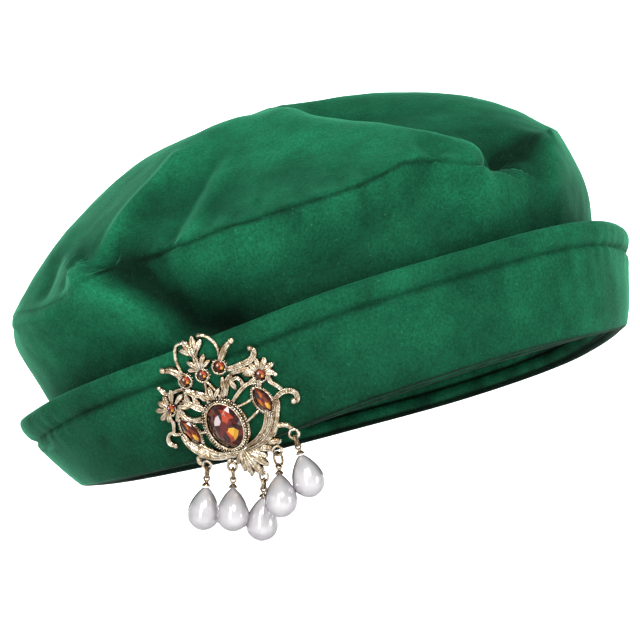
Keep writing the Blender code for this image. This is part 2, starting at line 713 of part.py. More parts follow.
def boolean_with(obj, operation, shapes, helpers, parent):
    """Joins or cuts obj with the shapes, which stay hidden in a collection of their own."""
    group = bpy.data.collections.new(f"{obj.name}_{operation.lower()}_{len(obj.modifiers)}")
    helpers.children.link(group)
    for data in shapes:
        hide_helper(add_object("shape_" + data.name, data, group, None, parent))
    step = obj.modifiers.new(group.name, "BOOLEAN")
    step.operation = operation
    step.operand_type = "COLLECTION"
    step.collection = group
    step.solver = "MANIFOLD"


def make_brooch_frame(collection, helpers, material, parent):
    """All the cast metal of the brooch: scrolls, leaves, settings and loops, joined into one solid."""
    shapes = [stroke_tube(stroke) for stroke in STROKES]
    for fan in FANS:
        shapes += fan_tubes(fan)
    shapes += [drop_loop(drop) for drop in DROPS]
    seats, settings = [], []
    for stone in STONES:
        grow = SEAT_GAP + setting_wire(stone)
        seats.append(prism(stone.name + "_seat", stone, grow, FLOOR_HIGH - 0.0002, SEAT_TOP))
        settings.append(prism(stone.name + "_floor", stone, grow + 0.0001, FLOOR_LOW, FLOOR_HIGH))
        settings.append(setting_tube(stone))
    frame = add_object("brooch_frame", shapes[0], collection, material, parent)
    boolean_with(frame, "UNION", shapes[1:], helpers, parent)
    boolean_with(frame, "DIFFERENCE", seats, helpers, parent)
    boolean_with(frame, "UNION", settings, helpers, parent)
    return frame


def make_stone(stone, collection, material, parent):
    """A cut stone: a table, a ring of crown facets, a girdle and a shallow pavilion that ends flat."""
    outline = stone_outline(stone)
    levels = (
        (CULET_SHARE, 0.0010 - stone.lift),
        (1.0, -0.0001),
        (1.0, 0.0001),
        (0.5 * (1 + TABLE_SHARE), 0.62 * stone.crown),
        (TABLE_SHARE, stone.crown),
    )
    mesh = bmesh.new()
    rings = []
    for row, (share, height) in enumerate(levels):
        turned = outline
        if row == 3:
            turned = [(a + b) / 2 for a, b in zip(outline, outline[1:] + outline[:1])]
        rings.append([mesh.verts.new((x * share, y * share, height)) for x, y in turned])
    count = len(outline)
    mesh.faces.new(reversed(rings[0]))
    mesh.faces.new(rings[-1])
    for row in (0, 1):
        for k in range(count):
            n = (k + 1) % count
            mesh.faces.new((rings[row][k], rings[row][n], rings[row + 1][n], rings[row + 1][k]))
    for k in range(count):
        n = (k + 1) % count
        mesh.faces.new((rings[2][k], rings[2][n], rings[3][k]))
        mesh.faces.new((rings[2][n], rings[3][n], rings[3][k]))
        mesh.faces.new((rings[3][k], rings[3][n], rings[4][n]))
        mesh.faces.new((rings[3][k], rings[4][n], rings[4][k]))
    data = bpy.data.meshes.new(stone.name)
    mesh.to_mesh(data)
    mesh.free()
    obj = add_object(stone.name, data, collection, material, parent)
    obj.matrix_local = brooch_frame_at(stone.u, stone.v, stone.lift)
    return obj


def pin_path(lift_end):
    """From behind one marquise stone, down into the brim, along it and up behind the other."""
    left, right = STONES[1], STONES[2]
    depth = -(BRIM_BELLY + BROOCH_STANDOFF + PIN_DEPTH)
    path = [brooch_point(left.u, left.v, lift_end)]
    for k in range(9):
        share = k / 8
        u = left.u + (right.u - left.u) * share
        v = left.v + (right.v - left.v) * share
        path.append(brooch_point(u, v, depth))
    path.append(brooch_point(right.u, right.v, lift_end))
    return path


def make_pin(collection, helpers, material, parent, brim):
    """One plain wire, and the tunnel for it in the brim."""
    path = pin_path(0.00015 - FIT_GAP)
    wire = tube("brooch_pin", path, [PIN_RADIUS] * len(path))
    pin = add_object("brooch_pin", wire, collection, material, parent)
    tunnel_path = pin_path(0.002)
    wide = tube("pin_tunnel", tunnel_path, [PIN_RADIUS + PIN_CLEARANCE] * len(tunnel_path))
    tunnel = add_object("pin_tunnel", wide, helpers, None, parent)
    hide_helper(tunnel)
    cut = brim.modifiers.new("pin_tunnel", "BOOLEAN")
    cut.operation = "DIFFERENCE"
    cut.object = tunnel
    return pin


# Drops


def turned(name, profile, steps):
    """A turned solid about Z, from a profile that runs down its outer side."""
    mesh = bmesh.new()
    knots = [mesh.verts.new((radius, 0.0, height)) for radius, height in profile]
    for upper, lower in zip(knots, knots[1:]):
        mesh.edges.new((upper, lower))
    data = bpy.data.meshes.new(name)
    mesh.to_mesh(data)
    mesh.free()
    obj = bpy.data.objects.new(name, data)
    bpy.context.scene.collection.objects.link(obj)
    screw = obj.modifiers.new("turn", "SCREW")
    screw.steps = steps
    screw.render_steps = steps
    screw.use_merge_vertices = True
    screw.merge_threshold = 0.00001
    graph = bpy.context.evaluated_depsgraph_get()
    solid = bpy.data.meshes.new_from_object(obj.evaluated_get(graph))
    bpy.data.objects.remove(obj)
    solid.name = name
    return solid


def pearl_profile():
    """A teardrop with its small flat top at height 0."""
    outside = [(PEARL_RADIUS * row.width, -PEARL_LENGTH * row.down) for row in PEARL_ROWS]
    return [(0.0, 0.0), *outside, (0.0, -PEARL_LENGTH)]


def cap_mesh():
    """A pearl's cap with its eye, as one solid, with the cap's foot at height 0."""
    profile = (
        (0.0, CAP_LENGTH), (0.0008, CAP_LENGTH), (CAP_RADIUS, 0.35 * CAP_LENGTH),
        (CAP_RADIUS, 0.0), (0.0, 0.0),
    )
    cap = bpy.data.objects.new("cap", turned("cap", profile, 8))
    bpy.context.scene.collection.objects.link(cap)
    height = CAP_LENGTH + EYE_RADIUS - 0.3 * EYE_WIRE
    points = []
    for k in range(8):
        angle = 2 * math.pi * (k + 0.5) / 8
        points.append(Vector((EYE_RADIUS * math.cos(angle), 0.0, height + EYE_RADIUS * math.sin(angle))))
    eye = bpy.data.objects.new("eye", tube("eye", points, [EYE_WIRE] * 8, cyclic=True))
    bpy.context.scene.collection.objects.link(eye)
    union = cap.modifiers.new("join", "BOOLEAN")
    union.operation = "UNION"
    union.object = eye
    graph = bpy.context.evaluated_depsgraph_get()
    data = bpy.data.meshes.new_from_object(cap.evaluated_get(graph))
    bpy.data.objects.remove(cap)
    bpy.data.objects.remove(eye)
    data.name = "pearl_cap"
    return data


def ring_mesh_round(radius):
    points = []
    for k in range(10):
        angle = 2 * math.pi * k / 10
        points.append(Vector((radius * math.cos(angle), 0.0, radius * math.sin(angle))))
    return tube("drop_ring", points, [RING_WIRE] * 10, cyclic=True)


def drop_frame(drop):
    """Where a drop starts, at its loop's lowest wire, with Z up along it. X stays across the view."""
    loop = brooch_point(drop.u, drop.v, LOOP_WIRE)
    plumb = Matrix.Rotation(-WORN_TILT, 4, "Y").inverted()
    swing = Matrix.Rotation(math.radians(drop.swing), 4, "Y")
    forward = Matrix.Rotation(math.radians(-drop.forward), 4, "X")
    turn = plumb @ swing @ forward
    down = turn.to_3x3() @ Vector((0.0, 0.0, -1.0))
    local = brooch_frame_at(drop.u, drop.v, LOOP_WIRE)
    out = local.to_3x3() @ Vector((0.0, 0.0, 1.0))
    in_plane = (down - out * down.dot(out)).normalized()
    return Matrix.Translation(loop + in_plane * LOOP_RADIUS) @ turn


def make_drops(collection, gold, pearl_material, parent):
    cap_data = cap_mesh()
    pearl_data = turned("pearl", pearl_profile(), 10)
    for drop in DROPS:
        start = drop_frame(drop)
        ring_centre = -(drop.ring - LOOP_WIRE - RING_WIRE - LINK_GAP)
        ring = add_object(f"drop_ring_{drop.number}", ring_mesh_round(drop.ring), collection, gold, parent)
        ring.matrix_local = start @ Matrix.Translation((0, 0, ring_centre)) @ Matrix.Rotation(
            math.radians(drop.ring_turn), 4, "Z"
        )
        eye_top = ring_centre - drop.ring + RING_WIRE + EYE_WIRE + LINK_GAP
        foot = eye_top - 2 * EYE_RADIUS - (CAP_LENGTH - 0.3 * EYE_WIRE)
        cap = add_object(f"pearl_cap_{drop.number}", cap_data, collection, gold, parent)
        cap.matrix_local = start @ Matrix.Translation((0, 0, foot))
        pearl = add_object(f"pearl_{drop.number}", pearl_data, collection, pearl_material, parent)
        pearl.matrix_local = start @ Matrix.Translation((0, 0, foot - FIT_GAP))


def main():
    clear_scene()
    materials = make_materials()
    parts = make_collection("renaissance_beret")
    helpers = make_collection("cutters")
    worn = add_object("worn_tilt", None, parts)
    worn.rotation_euler = (0.0, -WORN_TILT, 0.0)
    make_crown_side(parts, materials["velvet"], worn)
    make_crown_top(parts, materials["velvet"], worn)
    brim = make_brim(parts, materials["velvet"], worn)
    make_headband(parts, materials["velvet"], worn)
    for stone in STONES:
        make_stone(stone, parts, materials["amber_stone"], worn)
    make_drops(parts, materials["gold"], materials["pearl"], worn)
    make_pin(parts, helpers, materials["gold"], worn, brim)
    make_brooch_frame(parts, helpers, materials["gold"], worn)
    bpy.context.view_layer.update()


main()
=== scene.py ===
"""Looks for the renaissance beret: velvet crown and brim, cast brooch, cut stones and pearl drops.

Everything is in metres, but what named_rows reads is in millimetres. Pieces are made upright in the hat's own
frame, as in the part, and leaned as the hat is worn.
"""
import math
from collections import namedtuple

import bmesh
import bpy
import numpy as np
from mathutils import Matrix, Vector, noise


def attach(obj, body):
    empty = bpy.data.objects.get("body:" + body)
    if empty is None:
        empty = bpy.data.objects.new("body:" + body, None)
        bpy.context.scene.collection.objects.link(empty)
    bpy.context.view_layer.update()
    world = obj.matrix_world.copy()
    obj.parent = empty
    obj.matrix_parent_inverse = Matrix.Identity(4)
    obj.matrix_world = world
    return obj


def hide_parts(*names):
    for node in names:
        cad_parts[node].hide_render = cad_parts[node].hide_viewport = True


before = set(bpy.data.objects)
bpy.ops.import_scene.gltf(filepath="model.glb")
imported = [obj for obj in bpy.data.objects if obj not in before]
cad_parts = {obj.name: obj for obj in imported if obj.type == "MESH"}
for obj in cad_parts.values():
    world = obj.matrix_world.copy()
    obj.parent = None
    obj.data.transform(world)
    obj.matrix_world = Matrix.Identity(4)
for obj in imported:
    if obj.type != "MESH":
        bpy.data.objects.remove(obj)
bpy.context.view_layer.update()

MM = 0.001
WORN_TILT = math.radians(15.0)
WORN = Matrix.Rotation(-WORN_TILT, 4, "Y")

# The head opening and the cloth, as in the part, with the brim's lifted and shaded foot
RIM_HALF_LENGTH = 0.1075
RIM_HALF_WIDTH = 0.0900
BRIM_THICKNESS = 0.0036
FIT_GAP = 0.0003
CLOTH = 0.0020
HEADBAND_THICKNESS = 0.0013
HEADBAND_HEIGHT = 0.026
HEADBAND_FOOT = 0.0012
BRIM_BELLY = 0.0012
BRIM_LIFT = 0.0020
SHADED_FOOT_ROWS = 2
SHADED_INNER_ROWS = 7
BRIM_CHANNEL_DROP = 0.0095
CROWN_FOOT = 0.0020
NECK_HEIGHT = 0.040
SHOULDER_SHARE = 0.78
MIDDLE_SHARE = 0.45
CROWN_TOP = 0.1235
FOLD_CENTRE = (0.0, 0.0, 0.035)
FRONT_FADE = 0.030

# Columns round each soft piece and rows up it, closer together in front and near the seam
AROUND = 420
FRONT_CROWDING = 0.42
SIDE_ROWS = 64
SIDE_ROW_POWER = 1.25
TOP_ROWS = 66
TOP_ROW_POWER = 1.15


def named_rows(kind, units, rows):
    """Rows of a table: m in units marks a length in millimetres, and a row may end in the points of a line."""
    named = []
    for row in rows:
        values = [MM * value if unit == "m" else value for value, unit in zip(row, units)]
        points = tuple((MM * x, MM * z) for x, z in row[len(units):])
        named.append(kind(*values, points) if points else kind(*values))
    return named


# Sections by their direction from +X, in degrees
BrimSection = namedtuple("BrimSection", "azimuth base height flare")
BRIM_SECTIONS = named_rows(BrimSection, "-mmm", (
    (0, 6, 36.4, 9),
    (30, 1, 40.5, 8.2),
    (60, -1, 42, 8),
    (90, -1, 42, 8),
    (120, -1, 42, 9),
    (150, 0, 38, 12.5),
    (180, 0.8, 30.2, 17.2),
    (210, -2.7, 36.2, 14.2),
    (240, -4.8, 40.8, 10),
    (270, -2.2, 43, 8),
    (300, 0.8, 42.6, 7),
    (330, 3, 42.5, 8),
))

CrownSection = namedtuple("CrownSection", "azimuth neck bulge bulge_z seam seam_z shoulder_z middle_z")
CROWN_SECTIONS = named_rows(CrownSection, "-mmmmmmm", (
    (0, 104.5, 107, 62, 102, 86, 103.5, 116.5),
    (30, 100, 106, 62, 102, 83, 102, 116.5),
    (60, 92, 101, 62, 101, 81, 100, 117.5),
    (90, 90, 99, 62, 99, 79, 100, 117.5),
    (120, 93, 102, 61, 101, 77.5, 100, 117),
    (150, 104.5, 110.5, 60, 108.5, 74, 97, 117),
    (180, 113, 118.3, 58, 117.2, 70, 94.5, 116),
    (210, 106, 114, 56, 113, 66.5, 90, 112),
    (240, 93, 99, 57, 101, 69, 86, 107),
    (270, 89, 95, 58, 97, 72, 85, 104),
    (300, 91.5, 97, 60, 98, 77, 89, 103),
    (330, 98.5, 103.5, 62, 99, 78.5, 95, 110),
))

# The seam between the panels across the front, as (x, z) in millimetres
SEAM_LINE = [(MM * x, MM * z) for x, z in (
    (-118, 70), (-104.7, 65.5), (-94.1, 65.5), (-81.5, 70), (-73.2, 70.8), (-57.9, 70.4), (-44.4, 70.8),
    (-30.6, 72.3), (-19, 72), (-7.1, 72.8), (4.7, 73.3), (13.6, 73.9), (19.6, 74.6), (29, 76.7), (37, 79),
    (44.2, 78.4), (52.5, 76), (63.7, 72), (71.5, 70.6), (81.7, 75.8), (90.5, 81.8), (102, 85),
)]

# Folds on the front of the crown: rise, width to the left and right of the line, and its (x, z) points
Fold = namedtuple("Fold", "rise left right line")
FOLDS = named_rows(Fold, "mmm", (
    (4, 7.5, 9, (-16, 118), (-28.9, 109.5), (-38.6, 105.2), (-49.6, 96.1), (-61.8, 87.6), (-72.6, 79.4),
     (-79.9, 73.7)),
    (1.6, 3, 2.2, (-38.6, 105.2), (-49.6, 96.1), (-61.8, 87.6), (-72.6, 79.4), (-79.9, 73.7)),
    (-1.6, 4, 4, (-48, 88), (-60, 80), (-69, 74)),
    (5.8, 6, 12.5, (3, 115), (10, 107), (21, 101), (32, 95), (40, 90), (48, 86), (56, 81), (62, 76)),
    (-5.6, 12, 7, (16, 115), (28, 107), (42, 100), (54, 94), (66, 86), (73, 77)),
    (2.6, 6, 3.2, (-44.4, 72), (-41.8, 75.7), (-33.8, 84.8), (-25.6, 94.4)),
    (-3, 3.6, 6, (-49, 76), (-45, 81), (-39, 89), (-32, 98)),
    (-4.4, 5.6, 4, (68, 71.8), (73.3, 73), (80, 76.6)),
    (2.4, 7, 3.6, (94, 77), (91.8, 69.3), (88.8, 60.3), (88, 54)),
    (-3.4, 7.5, 6, (43, 74.5), (44.4, 57)),
    (-4.6, 7, 11, (40, 72), (26.1, 64), (12.2, 56.6), (2, 53)),
    (-8.5, 12.5, 4, (-72.8, 67.5), (-66.3, 61.2), (-59.3, 52.8), (-52.8, 43.4), (-42, 38)),
    (5.2, 4.2, 8.5, (-80, 68), (-74.5, 61), (-67, 52.4), (-60, 44)),
    (2.2, 11, 9, (-42, 62), (-30, 60), (-10, 63), (12, 69)),
    (-1.5, 1.6, 2, (13.3, 83.6), (12.6, 75.5)),
    (-1.2, 1.5, 1.5, (-17, 78), (-16, 73)),
    (-1.3, 2.6, 2.6, (-101, 70), (-93, 82)),
    (-1.2, 2.4, 2.4, (-90, 69), (-83, 79)),
    (1.2, 4, 4, (-110, 74), (-86, 93)),
    (2.2, 6, 3, (-113, 64), (-100, 61), (-90, 63), (-82, 66)),
    (1.6, 5, 4, (56, 75), (60, 62), (58, 50)),
))

# Bands of painted shade and painted highlight on the crown: change of tone, widths and points
SHADE_AND_HIGHLIGHT_BANDS = named_rows(Fold, "-mm", (
    (-0.42, 12, 12, (-84.9, 75.1), (-71, 85), (-54, 92.5)),
    (-0.36, 9, 9, (-27.7, 85.4), (-14.9, 91.1), (-6.9, 93.1)),
    (0.26, 8, 8, (-8.2, 95.4), (5.2, 103.2), (13.9, 107.7)),
    (-0.42, 14, 14, (87.1, 88.1), (89.3, 73), (92.5, 57)),
    (-0.14, 9, 15, (42, 72), (26.1, 64), (12.2, 56.6), (-0.6, 51), (-20, 43)),
    (-0.1, 11, 11, (-40, 38), (-10, 42), (20, 45)),
    (-0.44, 12, 3.2, (-74, 66.5), (-68, 61.5), (-60, 53), (-52.8, 44), (-42.4, 39.2)),
    (0.42, 2.4, 2, (-28.9, 109.5), (-38.6, 105.2), (-49.6, 96.1), (-61.8, 87.6), (-72.6, 79.4), (-79, 74.5)),
    (0.4, 1.8, 2.2, (-44, 73.5), (-41, 76), (-33, 85), (-25.6, 94.4)),
    (0.32, 2.6, 2, (5, 112), (21, 102), (32, 96), (40, 91), (54, 83), (65, 74)),
    (0.3, 7, 6, (-86, 69), (-80, 60), (-70, 50), (-63, 43)),
    (0.44, 9, 10, (-6, 98), (12, 104)),
    (0.22, 10, 10, (56, 65), (70, 58)),
    (0.26, 4, 3, (95, 86), (94.5, 79.3), (91.8, 69.3), (88.8, 60.3)),
    (-0.3, 5, 5, (66, 71.5), (73.3, 71.2), (81.7, 76.1), (90.5, 82)),
))
# Painted shade in the folds' valleys and painted highlight on their ridges, per fold height; a painted line of
# shade along the seam; painted shade on the crown just above the brim, and how far up it reaches
FOLD_SHADING_DEPTH = 0.34
SEAM_SHADE = 0.26
BRIM_SHADE = 0.52
BRIM_SHADE_REACH = 0.012

SEAM_GROOVE = 0.0014
SEAM_GROOVE_WIDTH = 0.0013
GATHER_HEIGHT = 0.00045
GATHER_REACH = 0.011
GATHER_START = 0.0015
STITCH_PITCH = 0.0030

# How the seam is fitted to its line, painted as a line of shade with painted shade and highlight following its
# relief, and calmed behind and towards the ends
SEAM_ROUNDS = 6
SEAM_STEP = 0.7
SEAM_FRONT = 0.020
SEAM_LINE_WIDTH = 0.0016
RELIEF_PER_TONE = 0.0050
FOLD_PER_TONE = 0.006
RELIEF_BEHIND = 0.35
RELIEF_FRONT = 0.05
RELIEF_END_LOSS = 0.7
RELIEF_ENDS = (0.062, 0.082)

# Layers of soft unevenness: amount, size and seed
CROWN_WAVER = ((0.0007, 0.030, 3.1), (0.00025, 0.009, 7.7))
CROWN_NAP = ((0.16, 0.020, 21.0), (0.10, 0.006, 2.0))
BRIM_SWAY = ((0.0009, 0.032, 11.0),)
BRIM_WAVER = ((0.0003, 0.010, 5.0),)
BRIM_NAP = ((0.18, 0.024, 31.0), (0.12, 0.007, 12.0))

# Tones of the brim: its base tone, its nap streaks, painted shade along its channel, on its left, low at the front,
# on its inner face and at its foot, and painted light on its right; and the pucker along the brim's channel
TONE_LIMITS = (0.16, 1.75)
BRIM_TONE = 0.91
BRIM_TONE_LIMITS = (0.08, 1.7)
CHANNEL_SHADE = 0.40
CHANNEL_LINE_WIDTH = 0.0013
STREAK_TONE = 0.22
BRIM_RIGHT_LIGHT = 0.10
BRIM_LEFT_SHADE = 0.12
BRIM_LOW_SHADE = 0.50
INNER_SHADE = 0.15
FOOT_SHADE = 0.88
FOOT_SHADE_SHARE = 0.024
PUCKER_HEIGHT = 0.00022
PUCKER_REACH = 0.007

# Brooch, as in the part
BROOCH_X = -0.0478
BROOCH_Z = 0.0049
BROOCH_LEAN = math.radians(10.0)
BROOCH_STANDOFF = 0.0004
BROOCH_AZIMUTH = 245.0
BROOCH_ROUNDS = 12

# Strokes: raised straps by half width, height, number of ribs, share of the width at the tips, and (u, v) points
Stroke = namedtuple("Stroke", "width height ribs tip line")
STROKES = named_rows(Stroke, "mm--", (
    (0.75, 1.2, 1, 0.9, (-1.2, 32.3), (-4, 32.6), (-5.9, 29.5), (-6.5, 25.7), (-6.2, 21.5)),
    (0.8, 1.3, 1, 0.9, (3.5, 32.6), (5.6, 32), (7.8, 29.5), (8.8, 25.7), (7.6, 21.5)),
    (1.55, 2.2, 2, 0.6, (-11.8, 27), (-9.3, 25.8), (-7.6, 23.6), (-6.6, 20.5)),
    (1.55, 2.2, 2, 0.6, (14.1, 25.7), (11.3, 24.5), (8.8, 22.3), (7, 20.2)),
    (1, 1.6, 2, 0.6, (-15.6, 22.2), (-15, 20.1), (-13.1, 18.8), (-10, 18.5), (-7.4, 18)),
    (1.45, 1.9, 3, 0.6, (7.6, 17.8), (11.3, 17), (15, 16.7), (18, 17), (19.7, 18.8), (19.1, 20.6)),
    (1.1, 1.6, 2, 0.7, (8.6, 15.8), (12.5, 15), (15.8, 13.8), (17.8, 12.2)),
    (1.5, 1.9, 3, 0.6, (-8.6, 18.6), (-5.6, 15.1), (-3.1, 13.3), (-0.4, 10.6)),
    (1.25, 1.8, 2, 0.7, (-10.6, 15), (-8, 12.6), (-6.2, 10.6), (-4, 8)),
    (1.5, 1.9, 3, 0.6, (9.6, 15.6), (7, 13.6), (4.8, 11.4), (2.8, 9)),
    (0.8, 1.4, 1, 0.9, (0.1, 17.6), (-0.6, 15), (-1.6, 11.8), (-2.4, 9.2)),
    (0.8, 1.4, 1, 0.9, (0.1, 17.6), (1.2, 15), (2.2, 11.8), (2.6, 9.2)),
    (0.8, 1.4, 1, 0.9, (0.1, 20.5), (0.4, 23.2), (0.7, 24.6), (0.7, 26.8)),
    (1.05, 1.6, 2, 0.8, (-12.5, 14), (-11.9, 10), (-10.6, 7.6), (-8.5, 6.4), (-6.2, 6.2)),
    (1.05, 1.7, 2, 0.8, (-12, 14.5), (-8.6, 12.4), (-6.4, 9.6), (-4.8, 8.2)),
    (0.7, 1.2, 1, 0.9, (-10.8, 7), (-8.5, 5.6), (-6, 4.8)),
    (0.85, 1.3, 1, 0.9, (-9.8, 1.8), (-8, 1.4), (-6.6, 1)),
    (0.9, 1.5, 2, 0.8, (-18.4, 13), (-16.8, 11.2), (-16.3, 9), (-17.1, 6.8), (-17.6, 5.4), (-15, 4.2)),
    (0.95, 1.5, 2, 0.8, (-16.5, 5.6), (-19, 6.2), (-20.5, 4.6), (-20.4, 2.8), (-19, 1.7)),
    (1.65, 2.1, 3, 0.7, (-15.2, 4.4), (-14, -0.5), (-11.2, -5), (-7, -8.4), (1.6, -11)),
    (1.25, 1.8, 2, 0.7, (-11.8, -1), (-8.8, -5.2), (-5.2, -8.4), (0.4, -10.2)),
    (1.9, 2.3, 4, 0.7, (0.8, -11), (8.8, -10.8), (14, -8.4), (17.6, -3.6), (20.2, 1)),
    (1.55, 2, 3, 0.7, (3, -10.2), (8.2, -9.2), (12.2, -6.8), (15, -2.8), (16.4, 0.6)),
    (1.15, 1.7, 2, 0.7, (5, 6), (9.4, 8.6), (13.4, 9.8), (16.6, 8.6)),
    (1.05, 1.6, 2, 0.7, (4.2, 8.8), (7, 12.6), (10.4, 13.4), (11.6, 11.2), (10.8, 9.4)),
    (0.75, 1.2, 1, 0.9, (6, 4.4), (9.4, 4), (13, 4.6)),
    (0.75, 1.2, 1, 0.9, (6.6, -2.2), (9.8, -1.2), (13, -0.2)),
    (1.25, 1.8, 3, 0.8, (17.8, 0), (20.6, 1.4), (23.1, 2), (25.6, 1.2), (27, -0.6), (26.4, -2.7), (25, -2.7)),
    (1.2, 1.7, 2, 0.7, (23.6, 1.8), (22.2, 4.6), (20.7, 7), (20.9, 9.2), (22.1, 9.6), (23.3, 8.5)),
    (1.1, 1.7, 2, 0.7, (20.9, 8.5), (20.6, 11.2), (20.4, 13.8)),
    (0.9, 1.4, 1, 0.8, (-7.8, -8.6), (-11.2, -6.2), (-13.2, -5.6), (-13.8, -7.2), (-13, -8.4)),
    (1, 1.5, 1, 0.8, (14, -7.2), (17.2, -8), (19.6, -9.2), (20.7, -11.2)),
    (1.1, 1.6, 1, 0.9, (-3, -10.8), (-4.1, -11.8), (-4.3, -12.6)),
    (1.5, 1.9, 3, 0.6, (5, -10.8), (9, -12.8), (11.7, -14.3)),
))

# Balls at the tips of horns and curls
Ball = namedtuple("Ball", "u v radius lift")
BALLS = named_rows(Ball, "mmmm", (
    (-11.8, 27.1, 1.25, 1.1),
    (14.2, 25.8, 1.25, 1.1),
    (25.2, -2.6, 1.2, 1.2),
    (-19, 1.6, 0.95, 1),
    (19.1, 20.6, 1.1, 1.1),
    (-15.6, 22.2, 0.85, 1),
    (23.3, 8.6, 0.85, 1),
    (0.9, 29.2, 0.8, 2),
))

# Petals and leaves: foot, direction clockwise from straight up, length, half width, height, bend
Petal = namedtuple("Petal", "u v turn length width height bend")
PETALS = named_rows(Petal, "mm-mmm-", (
    (0.4, 26.2, -24, 6.2, 1.5, 1.8, -34), (0.5, 26.2, -10, 7.4, 1.5, 2.4, -10),
    (0.7, 26.2, 8, 7.4, 1.5, 2.2, 10), (0.8, 26.2, 22, 6.2, 1.5, 1.8, 34),
    (0.5, 25.8, -4, 5, 1.4, 3, 0), (0.3, 21.2, -50, 4.8, 1.25, 1.6, -34),
    (0.3, 21.2, -26, 5.8, 1.3, 2, -16), (0.3, 21.2, 0, 6.2, 1.35, 2.4, 0),
    (0.3, 21.2, 26, 5.8, 1.3, 2, 16), (0.3, 21.2, 50, 4.8, 1.25, 1.6, 34),
    (2, -9.4, 192, 8.4, 1.6, 1.8, 12), (2.1, -9.4, 181, 10.6, 1.65, 2.2, 8),
    (2.2, -9.4, 168, 12.4, 1.75, 2.7, 0), (2.3, -9.4, 155, 11.2, 1.65, 2.2, -8),
    (2.4, -9.4, 143, 9.4, 1.6, 1.8, -14), (1.6, -9.6, 210, 5.6, 1.4, 1.6, 16),
    (3, -9.6, 126, 6.6, 1.45, 1.6, -16), (-15, 13.6, 228, 4.6, 1.4, 1.7, -24),
    (-15, 13.8, 256, 5.2, 1.45, 1.9, -16), (-15, 14, 284, 5.4, 1.45, 1.9, 10),
    (-15, 14.2, 312, 5, 1.4, 1.8, 20), (-14.8, 14.6, 340, 4.6, 1.35, 1.7, 22),
    (-13.8, 15, 10, 5, 1.4, 1.8, 16), (-13, 14.4, 52, 4.6, 1.35, 1.8, 14),
    (-12.8, 13.8, 112, 5, 1.45, 1.8, 12), (-13.8, 13.4, 164, 4.8, 1.35, 1.6, 12),
    (18.2, 11.6, 348, 4.8, 1.4, 1.8, -18), (18.6, 11.4, 14, 5.4, 1.45, 1.8, -14),
    (18.8, 11.2, 42, 5.8, 1.5, 2, -6), (18.8, 11, 70, 5.6, 1.5, 1.9, 10),
    (18.8, 10.8, 98, 5, 1.4, 1.7, 20), (17.4, 11.2, 306, 5.2, 1.45, 1.8, -12),
    (17.6, 10.6, 262, 4.6, 1.35, 1.7, -12), (18, 10.2, 214, 4.2, 1.3, 1.6, -12),
    (-4.4, 15.6, 150, 5.4, 1.45, 2.1, 14), (-7.8, 17.2, 196, 6.2, 1.4, 1.8, -14),
    (-6, 15, 176, 5.6, 1.35, 1.9, 6), (6.2, 16, 200, 5.8, 1.45, 2.1, -12),
    (8, 15, 176, 5.2, 1.3, 1.8, -6), (11, 15.4, 96, 5.2, 1.35, 1.8, 12),
    (-11.8, 13, 212, 5.2, 1.35, 1.8, 12), (10.2, -11.8, 96, 5.2, 1.45, 1.9, 16),
    (0.4, 10, -40, 4.4, 1.3, 2.2, -20), (0.4, 10, 40, 4.4, 1.3, 2.2, 20),
    (0.4, 9.8, 0, 5.2, 1.3, 2.4, 0),
))

# Stones: half width, half length, turn, number of sides, height of the girdle and of the crown above it
Stone = namedtuple("Stone", "name shape u v half_width half_length turn sides lift crown")
STONES = named_rows(Stone, "--mmmm--mm", (
    ("oval_stone", "oval", 0, 0, 5.9, 8.2, 0, 16, 1.8, 2.6),
    ("marquise_stone_left", "marquise", -12, 3.4, 2.4, 5.6, -12, 10, 1.2, 1.8),
    ("marquise_stone_right", "marquise", 15.6, 2.2, 2.6, 5.4, -10, 10, 1.2, 1.8),
    ("round_stone_1", "oval", -6.2, 20.2, 2, 2, 0, 8, 1.4, 1.1),
    ("round_stone_2", "oval", 0.1, 19.4, 1.9, 1.9, 0, 8, 1.4, 1.1),
    ("round_stone_3", "oval", 6.7, 19.4, 2.1, 2.1, 0, 8, 1.4, 1.1),
    ("round_stone_4", "oval", -15.2, 13.8, 1.8, 1.8, 0, 8, 1.4, 1.1),
    ("round_stone_5", "oval", 18.4, 10.7, 2.1, 2.1, 0, 8, 1.4, 1.1),
))
TABLE_SHARE = 0.56
CULET_SHARE = 0.45

# Drops: the loop's place, the swing to the side, the ring's radius and turn, and the swing forward
Drop = namedtuple("Drop", "number u v swing ring ring_turn forward")
DROPS = named_rows(Drop, "-mm-m--", (
    (1, -12.2, -9.6, 5, 2, 80, 0),
    (2, -4.3, -14, 0, 2, 85, 9),
    (3, 4.3, -22.1, 2.5, 1.8, 75, -9),
    (4, 12.5, -15.8, -4, 2.5, 55, 14),
    (5, 20.3, -13, -17, 2, 80, 0),
))
LOOP_RADIUS = 0.0016
LOOP_WIRE = 0.00055
RING_WIRE = 0.00032
EYE_RADIUS = 0.00095
EYE_WIRE = 0.00028
LINK_GAP = 0.00014
RING_LOOK = 1.5
EYE_LOOK = 1.4
EYE_SINK = 0.3
RING_TURN = np.linspace(0, 2 * math.pi, 36, endpoint=False)
CAP_LENGTH = 0.0021
CAP_SIDES = 24
CAP_RIBS = 8
CAP_RIB_DEPTH = 0.05
# The cap from its eye down: radius, and share of its length
CAP_OUTLINE = (
    (0.0002, 1.0), (0.00055, 0.98), (0.00075, 0.86), (0.00062, 0.74), (0.00080, 0.62), (0.00125, 0.40),
    (0.00148, 0.20), (0.00152, 0.04), (0.0012, 0.0), (0.0002, 0.0),
)
PEARL_SIDES = 48
PEARL_LENGTH = 0.0154
PEARL_RADIUS = 0.0059
PEARL_WIDTHS = (
    (0.00, 0.17), (0.07, 0.36), (0.19, 0.60), (0.34, 0.82), (0.50, 0.96), (0.65, 1.00), (0.79, 0.90), (0.91, 0.63),
    (0.98, 0.28), (1.00, 0.00),
)


# Reading the tables smoothly


